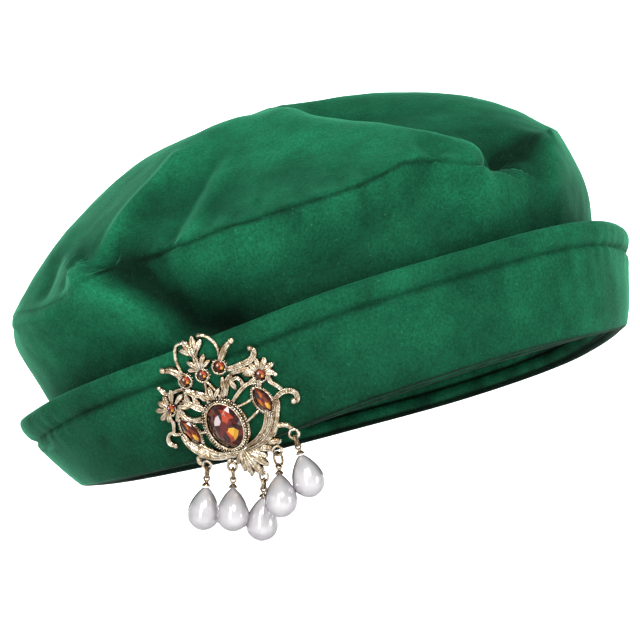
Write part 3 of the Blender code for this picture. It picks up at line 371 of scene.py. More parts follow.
def catmull(before, start, end, after, share):
    s2, s3 = share * share, share * share * share
    return (
        start * (2 * s3 - 3 * s2 + 1)
        + (end - before) * 0.5 * (s3 - 2 * s2 + share)
        + end * (3 * s2 - 2 * s3)
        + (after - start) * 0.5 * (s3 - s2)
    )


def around(sections, column, azimuth):
    azimuth = np.asarray(azimuth, float)
    values = np.array([getattr(s, column) for s in sections])
    place = np.mod(azimuth, 360.0) / 360.0 * len(values)
    row = np.floor(place).astype(int)
    pick = [values[(row + k - 1) % len(values)] for k in range(4)]
    return catmull(*pick, place - row)


def along(points, share):
    """points is a list of equal arrays, share an array from 0 to 1, or one number."""
    count = len(points)
    stack = np.stack(points)
    share = np.clip(np.asarray(share, float), 0.0, 1.0) * (count - 1)
    row = np.minimum(share.astype(int), count - 2)
    padded = np.concatenate([stack[:1] * 2 - stack[1:2], stack, stack[-1:] * 2 - stack[-2:-1]])
    pick = [padded[row + k] for k in range(4)]
    local = share - row
    while local.ndim < pick[0].ndim:
        local = local[..., None]
    return catmull(*pick, local)


def smooth_step(low, high, value):
    share = np.clip((value - low) / (high - low), 0.0, 1.0)
    return share * share * (3 - 2 * share)


def rim_radius(azimuth, inset=0.0):
    turn = np.radians(azimuth)
    a, b = RIM_HALF_LENGTH - inset, RIM_HALF_WIDTH - inset
    return a * b / np.hypot(b * np.cos(turn), a * np.sin(turn))


def at(azimuth, radius, height):
    turn = np.radians(azimuth)
    return np.stack([radius * np.cos(turn), radius * np.sin(turn), height], -1)


def line_distance(x, z, line):
    """Distance to a line of points, and whether the place is on its left."""
    nearest = np.full(x.shape, 1.0)
    left = np.zeros(x.shape, bool)
    for (x0, z0), (x1, z1) in zip(line, line[1:]):
        run, rise = x1 - x0, z1 - z0
        share = np.clip(((x - x0) * run + (z - z0) * rise) / (run * run + rise * rise), 0.0, 1.0)
        away = np.hypot(x - x0 - share * run, z - z0 - share * rise)
        closer = away < nearest
        nearest = np.where(closer, away, nearest)
        left = np.where(closer, run * (z - z0) - rise * (x - x0) > 0, left)
    return nearest, left


def soft_noise(points, size, seed):
    flat = points.reshape(-1, 3) / size + seed
    values = [noise.noise(Vector(p)) for p in flat]
    return np.array(values).reshape(points.shape[:-1])


def uneven(points, layers):
    """The sum of layers of soft noise, each an amount, a size and a seed."""
    return sum(amount * soft_noise(points, size, seed) for amount, size, seed in layers)


def folded(points):
    """Points moved by the folds, the directions they moved in, and the tone there: painted shade in the valleys and
    painted highlight on the ridges, with the painted bands.
    """

    def raised(lines):
        rise = np.zeros(points.shape[:-1])
        for fold in lines:
            away, left = line_distance(points[..., 0], points[..., 2], fold.line)
            rise += fold.rise * np.exp(-((away / np.where(left, fold.left, fold.right)) ** 2))
        return rise * smooth_step(0.0, FRONT_FADE, -points[..., 1])

    outward = points - np.array(FOLD_CENTRE)
    outward /= np.linalg.norm(outward, axis=-1, keepdims=True)
    push = raised(FOLDS)
    tone = 1 + FOLD_SHADING_DEPTH * push / FOLD_PER_TONE + raised(SHADE_AND_HIGHLIGHT_BANDS)
    push = push + uneven(points, CROWN_WAVER)
    return points + outward * push[..., None], outward, tone


def seam_height(azimuth):
    """Heights at which the seam, once folded, follows its line across the front."""
    line_x, line_z = np.array(SEAM_LINE).T
    height = around(CROWN_SECTIONS, "seam_z", azimuth)
    seam = around(CROWN_SECTIONS, "seam", azimuth)
    for _ in range(SEAM_ROUNDS):
        points = at(azimuth, seam, height)
        moved = folded(points)[0]
        short = np.interp(moved[:, 0], line_x, line_z) - moved[:, 2]
        height = height + SEAM_STEP * short * smooth_step(0.0, SEAM_FRONT, -points[:, 1])
    return height


def seam_relief(distance, azimuth, phase):
    """The groove of the seam and the small gathers that run out from it."""
    groove = -SEAM_GROOVE * np.exp(-((distance / SEAM_GROOVE_WIDTH) ** 2))
    turn = np.radians(azimuth)
    wave = np.sin(34 * turn + phase) * np.sin(13 * turn + 1.7 * phase) + 0.5 * np.sin(71 * turn + 2.3 * phase)
    fade = np.exp(-((distance / GATHER_REACH) ** 2)) * (1 - np.exp(-((distance / GATHER_START) ** 2)))
    return groove + GATHER_HEIGHT * wave * fade


def warped_azimuths():
    """More columns across the front, where the folds are, than behind."""
    t = np.arange(AROUND) / AROUND
    return 270.0 + 360.0 * (t - 0.5) - FRONT_CROWDING * 360.0 / (2 * math.pi) * np.sin(2 * math.pi * (t - 0.5))


def crown_side_grid():
    azimuth = warped_azimuths()
    inset = BRIM_THICKNESS + FIT_GAP
    column = {name: around(CROWN_SECTIONS, name, azimuth) for name in CrownSection._fields[1:]}
    seam_z = seam_height(azimuth)
    profile = [
        np.stack([rim_radius(azimuth, inset), CROWN_FOOT + around(BRIM_SECTIONS, "base", azimuth)], -1),
        np.stack([column["neck"], np.full(azimuth.shape, NECK_HEIGHT)], -1),
        np.stack([column["bulge"], column["bulge_z"]], -1),
        np.stack([column["seam"], seam_z], -1),
    ]
    share = 1 - (1 - np.linspace(0, 1, SIDE_ROWS + 1)) ** SIDE_ROW_POWER
    grid = np.empty((len(share), len(azimuth), 3))
    for k, s in enumerate(share):
        place = profile_at(profile, s)
        grid[k] = at(azimuth, place[:, 0], place[:, 1])
    grid, tone = finish_panel(grid, azimuth, seam_row=-1, phase=0.4)
    brim_top = around(BRIM_SECTIONS, "base", azimuth) + around(BRIM_SECTIONS, "height", azimuth)
    above = np.maximum(grid[..., 2] - brim_top, 0.0)
    return grid, tone * (1 - BRIM_SHADE * np.exp(-((above / BRIM_SHADE_REACH) ** 2)))


def profile_at(profile, share):
    """The place of one share from 0 to 1 on every column's profile."""
    place = min(max(share, 0.0), 1.0) * (len(profile) - 1)
    row = min(int(place), len(profile) - 2)
    start, end = profile[row], profile[row + 1]
    before = profile[row - 1] if row else start * 2 - end
    after = profile[row + 2] if row + 2 < len(profile) else end * 2 - start
    return catmull(before, start, end, after, place - row)


def crown_top_grid():
    azimuth = warped_azimuths()
    seam = around(CROWN_SECTIONS, "seam", azimuth)
    one = np.ones(azimuth.shape)
    heights = [
        np.stack([one, seam_height(azimuth)], -1),
        np.stack([one * SHOULDER_SHARE, around(CROWN_SECTIONS, "shoulder_z", azimuth)], -1),
        np.stack([one * MIDDLE_SHARE, around(CROWN_SECTIONS, "middle_z", azimuth)], -1),
        np.stack([one * 0.0, one * CROWN_TOP], -1),
    ]
    share = np.linspace(0, 1, TOP_ROWS + 1)[:-1] ** TOP_ROW_POWER
    grid = np.empty((len(share), len(azimuth), 3))
    for k, s in enumerate(share):
        place = profile_at(heights, s)
        grid[k] = at(azimuth, seam * np.maximum(place[:, 0], 0.0), place[:, 1])
    return finish_panel(grid, azimuth, seam_row=0, phase=1.9)


def finish_panel(grid, azimuth, seam_row, phase):
    """Folds a panel, then presses in its seam."""
    moved, outward, tone = folded(grid)
    distance = np.linalg.norm(grid - grid[seam_row], axis=-1)
    front = smooth_step(0.0, RELIEF_FRONT, -grid[..., 1])
    ends = smooth_step(*RELIEF_ENDS, np.abs(grid[..., 0]))
    relief = seam_relief(distance, azimuth[None, :], phase)
    relief = relief * (RELIEF_BEHIND + (1 - RELIEF_BEHIND) * front) * (1 - RELIEF_END_LOSS * ends)
    # Painted shade along the seam line, and painted shade and highlight following the groove and gathers
    tone = tone - SEAM_SHADE * np.exp(-((distance / SEAM_LINE_WIDTH) ** 2)) + relief / RELIEF_PER_TONE
    return moved + outward * relief[..., None], np.clip(tone + uneven(grid, CROWN_NAP), *TONE_LIMITS)


# Meshes


def smooth_mesh(name, points, faces, smooth=True):
    data = bpy.data.meshes.new(name)
    data.from_pydata([tuple(p) for p in points], [], faces)
    if smooth:
        data.shade_smooth()
    data.update()
    return data


def row_faces(a, b, columns):
    """Faces round a ring, between the rows that start at points a and b."""
    return [(a + c, a + (c + 1) % columns, b + (c + 1) % columns, b + c) for c in range(columns)]


def grid_faces(rows, columns, start=0):
    starts = range(start, start + (rows - 1) * columns, columns)
    return [face for a in starts for face in row_faces(a, a + columns, columns)]


def grid_mesh(name, grid, tip=None):
    rows, columns = grid.shape[:2]
    points = list(grid.reshape(-1, 3))
    faces = grid_faces(rows, columns)
    if tip is not None:
        points.append(tip)
        base = (rows - 1) * columns
        faces += [(base + c, base + (c + 1) % columns, len(points) - 1) for c in range(columns)]
    return smooth_mesh(name, points, faces)


def paint_nap_and_shading(data, tone):
    """Writes the tone at each point as a colour, which the velvet multiplies its green by: the nap's own patches
    together with painted shade and painted highlight.
    """
    values = np.ones(len(data.vertices))
    flat = np.asarray(tone).reshape(-1)
    values[: len(flat)] = flat
    colours = np.ones((len(values), 4))
    colours[:, :3] = values[:, None]
    layer = data.color_attributes.new("nap", "FLOAT_COLOR", "POINT")
    layer.data.foreach_set("color", colours.reshape(-1))
    return data


def add_piece(name, data, material, node):
    """Leans a piece as the hat is worn, and puts it in the place of its CAD node."""
    data.transform(WORN)
    data.materials.append(material)
    obj = bpy.data.objects.new(name, data)
    bpy.context.scene.collection.objects.link(obj)
    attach(obj, "root")
    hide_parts(node)
    return obj


def thicken(obj, thickness):
    shell = obj.modifiers.new("cloth", "SOLIDIFY")
    shell.thickness = thickness
    shell.offset = -1.0


def make_crown(velvet):
    grid, tone = crown_side_grid()
    data = paint_nap_and_shading(grid_mesh("crown_side", grid), tone)
    side = add_piece("crown_side_velvet", data, velvet, "crown_side")
    grid, tone = crown_top_grid()
    data = paint_nap_and_shading(grid_mesh("crown_top", grid, grid[-1].mean(0)), tone)
    top = add_piece("crown_top_velvet", data, velvet, "crown_top")
    thicken(side, CLOTH)
    thicken(top, CLOTH)


# Brim: shares of its height with the lift of the outer face, then its inner face

BRIM_OUTSIDE = (
    (0.000, -0.0022), (0.004, -0.0012), (0.015, -0.0004), (0.035, 0.0), (0.10, 0.0001), (0.20, 0.0002),
    (0.30, 0.0002),
    (0.40, 0.0002), (0.50, 0.0001), (0.58, 0.0),
)
BRIM_INSIDE = (
    (0.995, 0.62), (0.985, 0.86), (0.965, 1.05), (0.93, 1.20), (0.86, 1.26), (0.78, 1.12), (0.70, 1.0), (0.50, 1.0),
    (0.30, 1.0), (0.20, 1.20), (0.10, 1.42), (0.03, 1.38), (0.008, 1.15),
)


# The stitched channel: steps up the brim from its line, with the cloth's lift and the pull of a stitch
CHANNEL_STEPS = (
    (-0.0042, 0.0001, 0.0), (-0.0026, 0.0001, 0.0), (-0.0014, -0.0001, 0.0), (-0.0006, -0.0006, 0.0003),
    (0.0, -0.0010, 0.0005), (0.0006, -0.0006, 0.0003), (0.0014, 0.0001, 0.0), (0.0028, 0.0006, 0.0),
    (0.0044, 0.0009, 0.0), (0.0060, 0.0009, 0.0), (0.0074, 0.0005, 0.0), (0.0084, -0.0001, 0.0),
    (0.0091, -0.0009, 0.0),
)


def brim_grid():
    azimuth = warped_azimuths()
    base, height, flare = (around(BRIM_SECTIONS, name, azimuth) for name in ("base", "height", "flare"))
    channel = 1 - BRIM_CHANNEL_DROP / height
    turn = np.radians(azimuth)
    rim = at(azimuth, rim_radius(azimuth), 0 * azimuth)[:, :2]
    arc = np.concatenate([[0.0], np.cumsum(np.hypot(*np.diff(rim, axis=0).T))])
    stitch = 0.5 + 0.5 * np.cos(2 * math.pi * arc / STITCH_PITCH)

    def row(share, lift):
        share = share + 0 * azimuth
        belly = BRIM_BELLY * 4 * share * (1 - share)
        return at(azimuth, rim_radius(azimuth) + flare * share + belly + lift, base + height * share)

    rows = [row(share, lift) for share, lift in BRIM_OUTSIDE]
    rows += [row(channel + step / height, lift - pull * stitch) for step, lift, pull in CHANNEL_STEPS]
    rows += [row(share, -depth * BRIM_THICKNESS) for share, depth in BRIM_INSIDE]
    grid = np.stack(rows)
    share = (grid[..., 2] - base) / height
    below = np.clip(1 - share, 0, 1)
    front = smooth_step(0.2, 0.8, -np.sin(turn)) * smooth_step(-0.6, 0.1, np.cos(turn))
    grid[..., 2] += BRIM_LIFT * front * below**4
    outward = at(azimuth, np.ones(azimuth.shape), 0 * azimuth)[None].repeat(len(grid), 0)
    off_channel = (share - channel) * height
    pucker = np.sin(57 * turn + 0.6) * np.sin(23 * turn) + 0.6 * np.sin(101 * turn + 1.1)
    push = PUCKER_HEIGHT * pucker * np.exp(-((off_channel / PUCKER_REACH) ** 2)) * smooth_step(0.3, 0.6, share)
    push = push + uneven(grid, BRIM_SWAY) * smooth_step(0.0, 0.4, share) + uneven(grid, BRIM_WAVER)
    x = grid[..., 0]
    # Painted shade along the channel, on the left, low at the front, on the inner face and at the foot, and painted
    # light on the right, over the brim's own tone, patches and nap streaks
    tone = BRIM_TONE - CHANNEL_SHADE * np.exp(-((off_channel / CHANNEL_LINE_WIDTH) ** 2)) + uneven(grid, BRIM_NAP)
    streaks = soft_noise(grid * np.array((1.0, 1.0, 0.18)), 0.0040, 17.0)
    tone = tone + STREAK_TONE * streaks * smooth_step(0.060, 0.100, x)
    tone = tone + BRIM_RIGHT_LIGHT * smooth_step(0.0, 0.10, x) - BRIM_LEFT_SHADE * smooth_step(0.0, 0.09, -x)
    tone = tone * (1 - BRIM_LOW_SHADE * below * smooth_step(-0.13, 0.02, -x))
    inner = np.arange(len(grid))[:, None] >= len(grid) - SHADED_INNER_ROWS
    tone = tone * np.where(inner, INNER_SHADE, 1.0) * (1 - FOOT_SHADE * np.exp(-((share / FOOT_SHADE_SHARE) ** 2)))
    return grid + outward * push[..., None], np.clip(tone, *BRIM_TONE_LIMITS)


def closed_ring_mesh(name, grid):
    """A ring whose section, down the rows, closes on itself."""
    rows, columns = grid.shape[:2]
    faces = grid_faces(rows, columns) + row_faces((rows - 1) * columns, 0, columns)
    return smooth_mesh(name, list(grid.reshape(-1, 3)), faces)


def make_brim(velvet, shaded):
    grid, tone = brim_grid()
    data = paint_nap_and_shading(closed_ring_mesh("brim", grid), tone)
    add_piece("brim_velvet", data, velvet, "brim")
    data.materials.append(shaded)
    for face in data.polygons:
        row = face.index // AROUND
        face.material_index = int(row < SHADED_FOOT_ROWS or row >= len(grid) - SHADED_INNER_ROWS)


def make_headband(velvet):
    """The inner band with its two rounded folds along the lower edge."""
    azimuth = warped_azimuths()
    inset = BRIM_THICKNESS + FIT_GAP + CLOTH + FIT_GAP
    foot = HEADBAND_FOOT + around(BRIM_SECTIONS, "base", azimuth)
    rows = []
    outer = (
        (0.0000, 0.0001), (0.0004, -0.0008), (0.0012, -0.0012), (0.0020, -0.0008), (0.0024, 0.0001), (0.0030, 0.0),
        (0.0160, 0.0), (HEADBAND_HEIGHT, 0.0004),
    )
    thick = HEADBAND_THICKNESS
    inner = (
        (HEADBAND_HEIGHT, thick), (0.0180, thick), (0.0120, thick), (0.0104, thick + 0.0003),
        (0.0092, thick + 0.0009),
        (0.0078, thick + 0.0011), (0.0064, thick + 0.0009), (0.0056, thick + 0.0001), (0.0052, thick + 0.0001),
        (0.0044, thick + 0.0010), (0.0028, thick + 0.0013), (0.0012, thick + 0.0009), (0.0002, thick),
        (-0.0003, 0.0012),
    )
    turn = np.radians(azimuth)
    tone = []
    for rise, depth in outer + inner:
        wave = 0.00025 * np.sin(19 * turn + 90 * rise) * (1 if depth > thick else 0)
        rows.append(at(azimuth, rim_radius(azimuth, inset) - depth - wave, foot + rise))
        # Painted shade: the band is near black, and lighter only where its folds stand out
        fold = smooth_step(thick + 0.0003, thick + 0.0011, depth) + smooth_step(0.0003, 0.0011, -depth)
        tone.append(0.05 + 0.62 * fold + 0 * azimuth)
    grid = np.stack(rows)
    tone = np.stack(tone) * (1 + 0.6 * soft_noise(grid, 0.005, 41.0))
    data = paint_nap_and_shading(closed_ring_mesh("headband", grid), np.clip(tone, 0.05, 1.0))
    add_piece("headband_velvet", data, velvet, "headband")


# Brooch


def brooch_point(u, v, lift=0.0):
    x = BROOCH_X + u * math.cos(BROOCH_LEAN) - v * math.sin(BROOCH_LEAN)
    z = BROOCH_Z + u * math.sin(BROOCH_LEAN) + v * math.cos(BROOCH_LEAN)
    azimuth = BROOCH_AZIMUTH
    for _ in range(BROOCH_ROUNDS):
        base, height, flare = (float(around(BRIM_SECTIONS, name, azimuth)) for name in ("base", "height", "flare"))
        radius = float(rim_radius(azimuth)) + flare * (z - base) / height
        radius += BRIM_BELLY + BROOCH_STANDOFF + lift
        azimuth = 180.0 + math.degrees(math.acos(max(min(-x / radius, 1.0), -1.0)))
    turn = math.radians(azimuth)
    return Vector((radius * math.cos(turn), radius * math.sin(turn), z))


def brooch_frame_at(u, v, lift=0.0):
    step = 0.001
    centre = brooch_point(u, v, lift)
    along_u = (brooch_point(u + step, v, lift) - brooch_point(u - step, v, lift)).normalized()
    along_v = brooch_point(u, v + step, lift) - brooch_point(u, v - step, lift)
    out = along_u.cross(along_v).normalized()
    along_v = out.cross(along_u)
    return Matrix.Translation(centre) @ Matrix((along_u, along_v, out)).transposed().to_4x4()


def brooch_grid():
    """The brooch's face sampled once on a grid, so that thousands of points can be laid on it quickly."""
    us = np.linspace(-0.030, 0.034, 65)
    vs = np.linspace(-0.032, 0.042, 75)
    place = np.array([[tuple(brooch_point(u, v)) for u in us] for v in vs])
    du = np.gradient(place, axis=1)
    dv = np.gradient(place, axis=0)
    out = np.cross(du, dv)
    out /= np.linalg.norm(out, axis=-1, keepdims=True)
    return us, vs, place, out


FACE = brooch_grid()


def laid(u, v, lift):
    """Points of the brooch's drawing, as arrays, laid on its face and lifted off it."""
    us, vs, place, out = FACE
    u, v = np.broadcast_arrays(np.asarray(u, float), np.asarray(v, float))
    fu = np.clip((u - us[0]) / (us[1] - us[0]), 0, len(us) - 1.001)
    fv = np.clip((v - vs[0]) / (vs[1] - vs[0]), 0, len(vs) - 1.001)
    iu, iv = fu.astype(int), fv.astype(int)
    tu, tv = (fu - iu)[..., None], (fv - iv)[..., None]

    def mix(table):
        low = table[iv, iu] * (1 - tu) + table[iv, iu + 1] * tu
        high = table[iv + 1, iu] * (1 - tu) + table[iv + 1, iu + 1] * tu
        return low * (1 - tv) + high * tv

    return mix(place) + mix(out) * np.asarray(lift)[..., None]


class Builder:
    """Collects many closed shapes into one mesh."""

    def __init__(self):
        self.points = []
        self.faces = []

    def add_grid(self, grid, closed_rows=False):
        """A tube through the grid's rows, joined end to end or with flat ends."""
        rows, columns = grid.shape[:2]
        start = len(self.points)
        last = start + (rows - 1) * columns
        self.points += [tuple(p) for p in grid.reshape(-1, 3)]
        self.faces += grid_faces(rows, columns, start)
        if closed_rows:
            self.faces += row_faces(last, start, columns)
        else:
            self.faces.append(tuple(range(start + columns - 1, start - 1, -1)))
            self.faces.append(tuple(range(last, last + columns)))

    def mesh(self, name):
        data = smooth_mesh(name, self.points, self.faces)
        mesh = bmesh.new()
        mesh.from_mesh(data)
        bmesh.ops.recalc_face_normals(mesh, faces=mesh.faces)
        mesh.to_mesh(data)
        mesh.free()
        return data


SECTION_POINTS = 17
STRAP_STEP = 0.00045
STRAP_LEAST = 12
EDGE_LIFT = 0.0002
PETAL_GRID = (14, 11)


def strap_section(ribs):
    """Across a strap from -1 to 1, and its height there from 0 to 1: a dome with grooves between its ribs."""
    across = np.linspace(-1, 1, SECTION_POINTS)
    dome = np.sqrt(np.clip(1 - across**2, 0, 1)) * 0.75 + 0.25 * (1 - across**2)
    if ribs > 1:
        groove = 0.5 - 0.5 * np.cos(math.pi * ribs * (across + 1))
        dome = dome * (0.70 + 0.30 * groove)
    return across, dome


def add_strap(build, stroke):
    knots = [np.array(p) for p in stroke.line]
    length = sum(np.linalg.norm(b - a) for a, b in zip(knots, knots[1:]))
    count = max(STRAP_LEAST, int(length / STRAP_STEP))
    share = np.linspace(0, 1, count + 1)
    path = np.array([along(knots, s) for s in share])
    tangent = np.gradient(path, axis=0)
    tangent /= np.linalg.norm(tangent, axis=-1, keepdims=True)
    side = np.stack([-tangent[:, 1], tangent[:, 0]], -1)
    reach = np.minimum(share, 1 - share) * length
    swell = stroke.tip + (1 - stroke.tip) * np.sqrt(np.sin(math.pi * share))
    rounded = np.sqrt(np.clip(1 - (1 - np.clip(reach / (stroke.width * 0.9), 0, 1)) ** 2, 0.02, 1))
    size = swell * rounded
    across, dome = strap_section(stroke.ribs)
    u = path[:, None, 0] + side[:, None, 0] * across * (stroke.width * size)[:, None]
    v = path[:, None, 1] + side[:, None, 1] * across * (stroke.width * size)[:, None]
    lift = dome * (stroke.height * np.minimum(size, 1.0))[:, None] + EDGE_LIFT
    top = laid(u, v, lift)
    bottom = laid(u[:, ::-1], v[:, ::-1], np.full(u.shape, 0.0))[:, 1:-1:4]
    build.add_grid(np.concatenate([top, bottom], axis=1))


def add_petal(build, petal):
    rows, columns = PETAL_GRID
    share = np.linspace(0, 1, rows)
    turn = np.radians(petal.turn + petal.bend * share)
    step = petal.length / (rows - 1)
    u = petal.u + np.concatenate([[0], np.cumsum(np.sin(turn[1:]) * step)])
    v = petal.v + np.concatenate([[0], np.cumsum(np.cos(turn[1:]) * step)])
    side = np.stack([np.cos(turn), -np.sin(turn)], -1)
    blunt = np.sqrt(np.clip(1 - (np.clip(share - 0.62, 0, 1) / 0.40) ** 2, 0.03, 1))
    width = petal.width * (0.50 + 0.50 * smooth_step(0.0, 0.55, share)) * blunt
    across = np.linspace(-1, 1, columns)
    profile = 0.25 + 0.75 * (1 - across**2) - 0.30 * np.exp(-((across / 0.16) ** 2))
    profile[0] = profile[-1] = 0.0
    rise = petal.height * (0.55 + 0.45 * np.sin(math.pi * share * 0.9 + 0.25))
    top = laid(
        u[:, None] + side[:, None, 0] * across * width[:, None],
        v[:, None] + side[:, None, 1] * across * width[:, None],
        profile * rise[:, None] + EDGE_LIFT,
    )
    narrow = across[::5] * width[:, None] * 0.8
    low = laid(u[:, None] - side[:, None, 0] * narrow, v[:, None] - side[:, None, 1] * narrow, 0 * narrow)
    build.add_grid(np.concatenate([top, low], axis=1))


def ball_grid(centre, radius, rows=9, columns=12):
    lat = np.linspace(-math.pi / 2 + 0.05, math.pi / 2 - 0.05, rows)
    lon = np.linspace(0, 2 * math.pi, columns, endpoint=False)
    x = np.cos(lat)[:, None] * np.cos(lon)
    y = np.cos(lat)[:, None] * np.sin(lon)
    z = np.sin(lat)[:, None] + 0 * lon
    return np.asarray(centre) + radius * np.stack([x, y, z], -1)


def torus_grid(points, wire, sides=12):
    """A closed wire through a ring of points."""
    points = np.asarray(points)
    centre = points.mean(0)
    tangent = np.roll(points, -1, 0) - np.roll(points, 1, 0)
    tangent /= np.linalg.norm(tangent, axis=-1, keepdims=True)
    normal = np.cross(points - centre, tangent).mean(0)
    normal /= np.linalg.norm(normal)
    out = np.cross(tangent, normal)
    angle = np.linspace(0, 2 * math.pi, sides, endpoint=False)
    ring = out[:, None] * np.cos(angle)[:, None] + normal * np.sin(angle)[:, None]
    return points[:, None] + wire * ring


def stone_outline(stone, grow=0.0, count=None):
    """The stone's girdle, counter-clockwise, grown evenly by grow."""
    count = count or stone.sides
    angle = np.arange(count) * 2 * math.pi / count
    x, y = np.cos(angle), np.sin(angle)
    if stone.shape == "marquise":
        x = x * np.abs(np.cos(angle)) ** 0.6
    x, y = x * stone.half_width, y * stone.half_length
    turn = -math.radians(stone.turn)
    points = np.stack([x * math.cos(turn) - y * math.sin(turn), x * math.sin(turn) + y * math.cos(turn)], -1)
    before = points - np.roll(points, 1, 0)
    after = np.roll(points, -1, 0) - points
    before /= np.linalg.norm(before, axis=-1, keepdims=True)
    after /= np.linalg.norm(after, axis=-1, keepdims=True)
    out = np.stack([before[:, 1] + after[:, 1], -before[:, 0] - after[:, 0]], -1)
    out /= np.linalg.norm(out, axis=-1, keepdims=True)
    corner = np.maximum((out * np.stack([after[:, 1], -after[:, 0]], -1)).sum(-1), 0.6)
    return points + out * (grow / corner)[:, None]


def in_place(matrix, points):
    array = np.array(matrix)
    return np.asarray(points) @ array[:3, :3].T + array[:3, 3]


def evenly(points, spacing):
    """Places at about equal spacing on a closed line."""
    loop = np.concatenate([points, points[:1]])
    steps = np.linalg.norm(np.diff(loop, axis=0), axis=-1)
    total = steps.sum()
    count = max(4, round(total / spacing))
    wanted = np.arange(count) * total / count
    length = np.concatenate([[0], np.cumsum(steps)])
    return np.stack([np.interp(wanted, length, loop[:, k]) for k in range(points.shape[1])], -1)


# Rows of beads round the oval stone: growth, spacing, lift and radius; then the skirt under them: growth and height
OVAL_BEADS = ((0.00105, 0.00100, 0.00140, 0.00052), (0.00195, 0.00095, 0.00085, 0.00046))
OVAL_SKIRT = ((0.0004, 0.0013), (0.0024, 0.0006), (0.0026, 0.0001), (0.0016, 0.0))


def lifted(outline, height):
    return np.concatenate([outline, np.full((len(outline), 1), height)], -1)


def add_setting(build, stone):
    """A bezel round the stone, the wall under it and the small beads that border it."""
    place = brooch_frame_at(stone.u, stone.v)
    oval = stone.name == "oval_stone"
    wire, count = (0.00038, 96) if oval else (0.00032, 48)
    height = 0.95 * stone.lift
    ring = lifted(stone_outline(stone, wire * 0.9 + 0.00010, count), height)
    build.add_grid(torus_grid(in_place(place, ring), wire, 10), closed_rows=True)
    wall = stone_outline(stone, wire * 1.2 + 0.00010, count)
    levels = ((wall, 0.0), (wall, height), (stone_outline(stone, -0.0002, count), height * 0.6))
    build.add_grid(in_place(place, np.stack([lifted(*level) for level in levels])))

    def beads(grow, sides, spacing, lift, radius, columns):
        for x, y in evenly(stone_outline(stone, grow, sides), spacing):
            build.add_grid(ball_grid(place @ Vector((x, y, lift)), radius, 7, columns))

    def prongs(sides, corners, lift, radius):
        for x, y in stone_outline(stone, 0.0001, sides)[list(corners)]:
            build.add_grid(ball_grid(place @ Vector((x, y, stone.lift + lift)), radius))

    if oval:
        for grow, spacing, lift, radius in OVAL_BEADS:
            beads(grow, 96, spacing, lift, radius, 10)
        skirt = [lifted(stone_outline(stone, grow, 96), z) for grow, z in OVAL_SKIRT]
        build.add_grid(in_place(place, np.stack(skirt)))
    elif stone.shape == "marquise":
        beads(0.00085, 48, 0.00090, 0.0009, 0.00036, 9)
        prongs(48, (12, 36), 0.0004, 0.00062)
    else:
        beads(0.00075, 24, 0.0011, 0.0008, 0.00036, 9)
        prongs(8, (1, 3, 5, 7), 0.0002, 0.00042)


def make_brooch(gold):
    build = Builder()
    for stroke in STROKES:
        add_strap(build, stroke)
    for petal in PETALS:
        add_petal(build, petal)
    for ball in BALLS:
        centre = laid(ball.u, ball.v, ball.lift)
        build.add_grid(ball_grid(centre, ball.radius, 11, 16))
    for stone in STONES:
        add_setting(build, stone)
    for drop in DROPS:
        place = brooch_frame_at(drop.u, drop.v, LOOP_WIRE)
        ring = np.stack([LOOP_RADIUS * np.cos(RING_TURN), LOOP_RADIUS * np.sin(RING_TURN), 0 * RING_TURN], -1)
        build.add_grid(torus_grid(in_place(place, ring), LOOP_WIRE), closed_rows=True)
    add_piece("brooch_cast_frame", build.mesh("brooch_cast_frame"), gold, "brooch_frame")


# Stones: each facet is a flat face painted with one colour, the stone's red or amber together with the painted
# reflections and painted shade that foil under glass would show

# Painted reflections and shade in the stones' colours: flame, amber, gold and glint are lit facets, black and
# maroon shaded ones
FACET_TONES = {
    "black": (0.022, 0.002, 0.002),
    "maroon": (0.040, 0.003, 0.002),
    "garnet": (0.105, 0.004, 0.003),
    "flame": (0.480, 0.050, 0.010),
    "brown": (0.130, 0.022, 0.004),
    "amber": (0.420, 0.100, 0.008),
    "gold": (0.850, 0.400, 0.020),
    "glint": (0.620, 0.520, 0.520),
}

# Tones by direction round a stone, from straight right and counter-clockwise, each up to an angle in degrees; the
# bright ones and the glint are painted reflections, the dark ones painted shade
OVAL_TONES = (
    (18, "garnet"), (78, "flame"), (100, "maroon"), (152, "glint"), (200, "maroon"), (236, "garnet"),
    (268, "maroon"),
    (286, "flame"), (328, "gold"), (346, "black"), (360, "maroon"),
)
MARQUISE_TONES = (
    (40, "brown"), (80, "amber"), (120, "black"), (160, "brown"), (215, "amber"), (262, "brown"), (300, "gold"),
    (335, "amber"), (360, "brown"),
)
ROUND_TONES = (
    (45, "flame"), (90, "amber"), (135, "glint"), (180, "brown"), (225, "garnet"), (270, "brown"), (315, "gold"),
    (360, "amber"),
)
# Painted shade on the rim's facets
EDGE_TONES = ("maroon", "black", "brown", "maroon", "black", "garnet")


def facet_tone(stone, centre, ring, order):
    """The tone of a facet by where it lies: painted shade on the girdle and rim, and on the crown and table the
    stone's red and amber with the painted reflections that foil under glass throws back.
    """
    tones = MARQUISE_TONES if stone.shape == "marquise" else ROUND_TONES
    if stone.name == "oval_stone":
        tones = OVAL_TONES
    if ring == "girdle":
        return FACET_TONES["black"]
    if ring == "rim":
        return FACET_TONES[EDGE_TONES[order % len(EDGE_TONES)]]
    angle = math.degrees(math.atan2(centre[1] / stone.half_length, centre[0] / stone.half_width)) % 360.0
    name = next(tone for limit, tone in tones if angle <= limit)
    if ring == "crown" and name == "glint":
        name = "garnet"
    colour = FACET_TONES[name]
    shade = 1.0 if ring == "table" else 0.72
    return tuple(shade * c for c in colour)


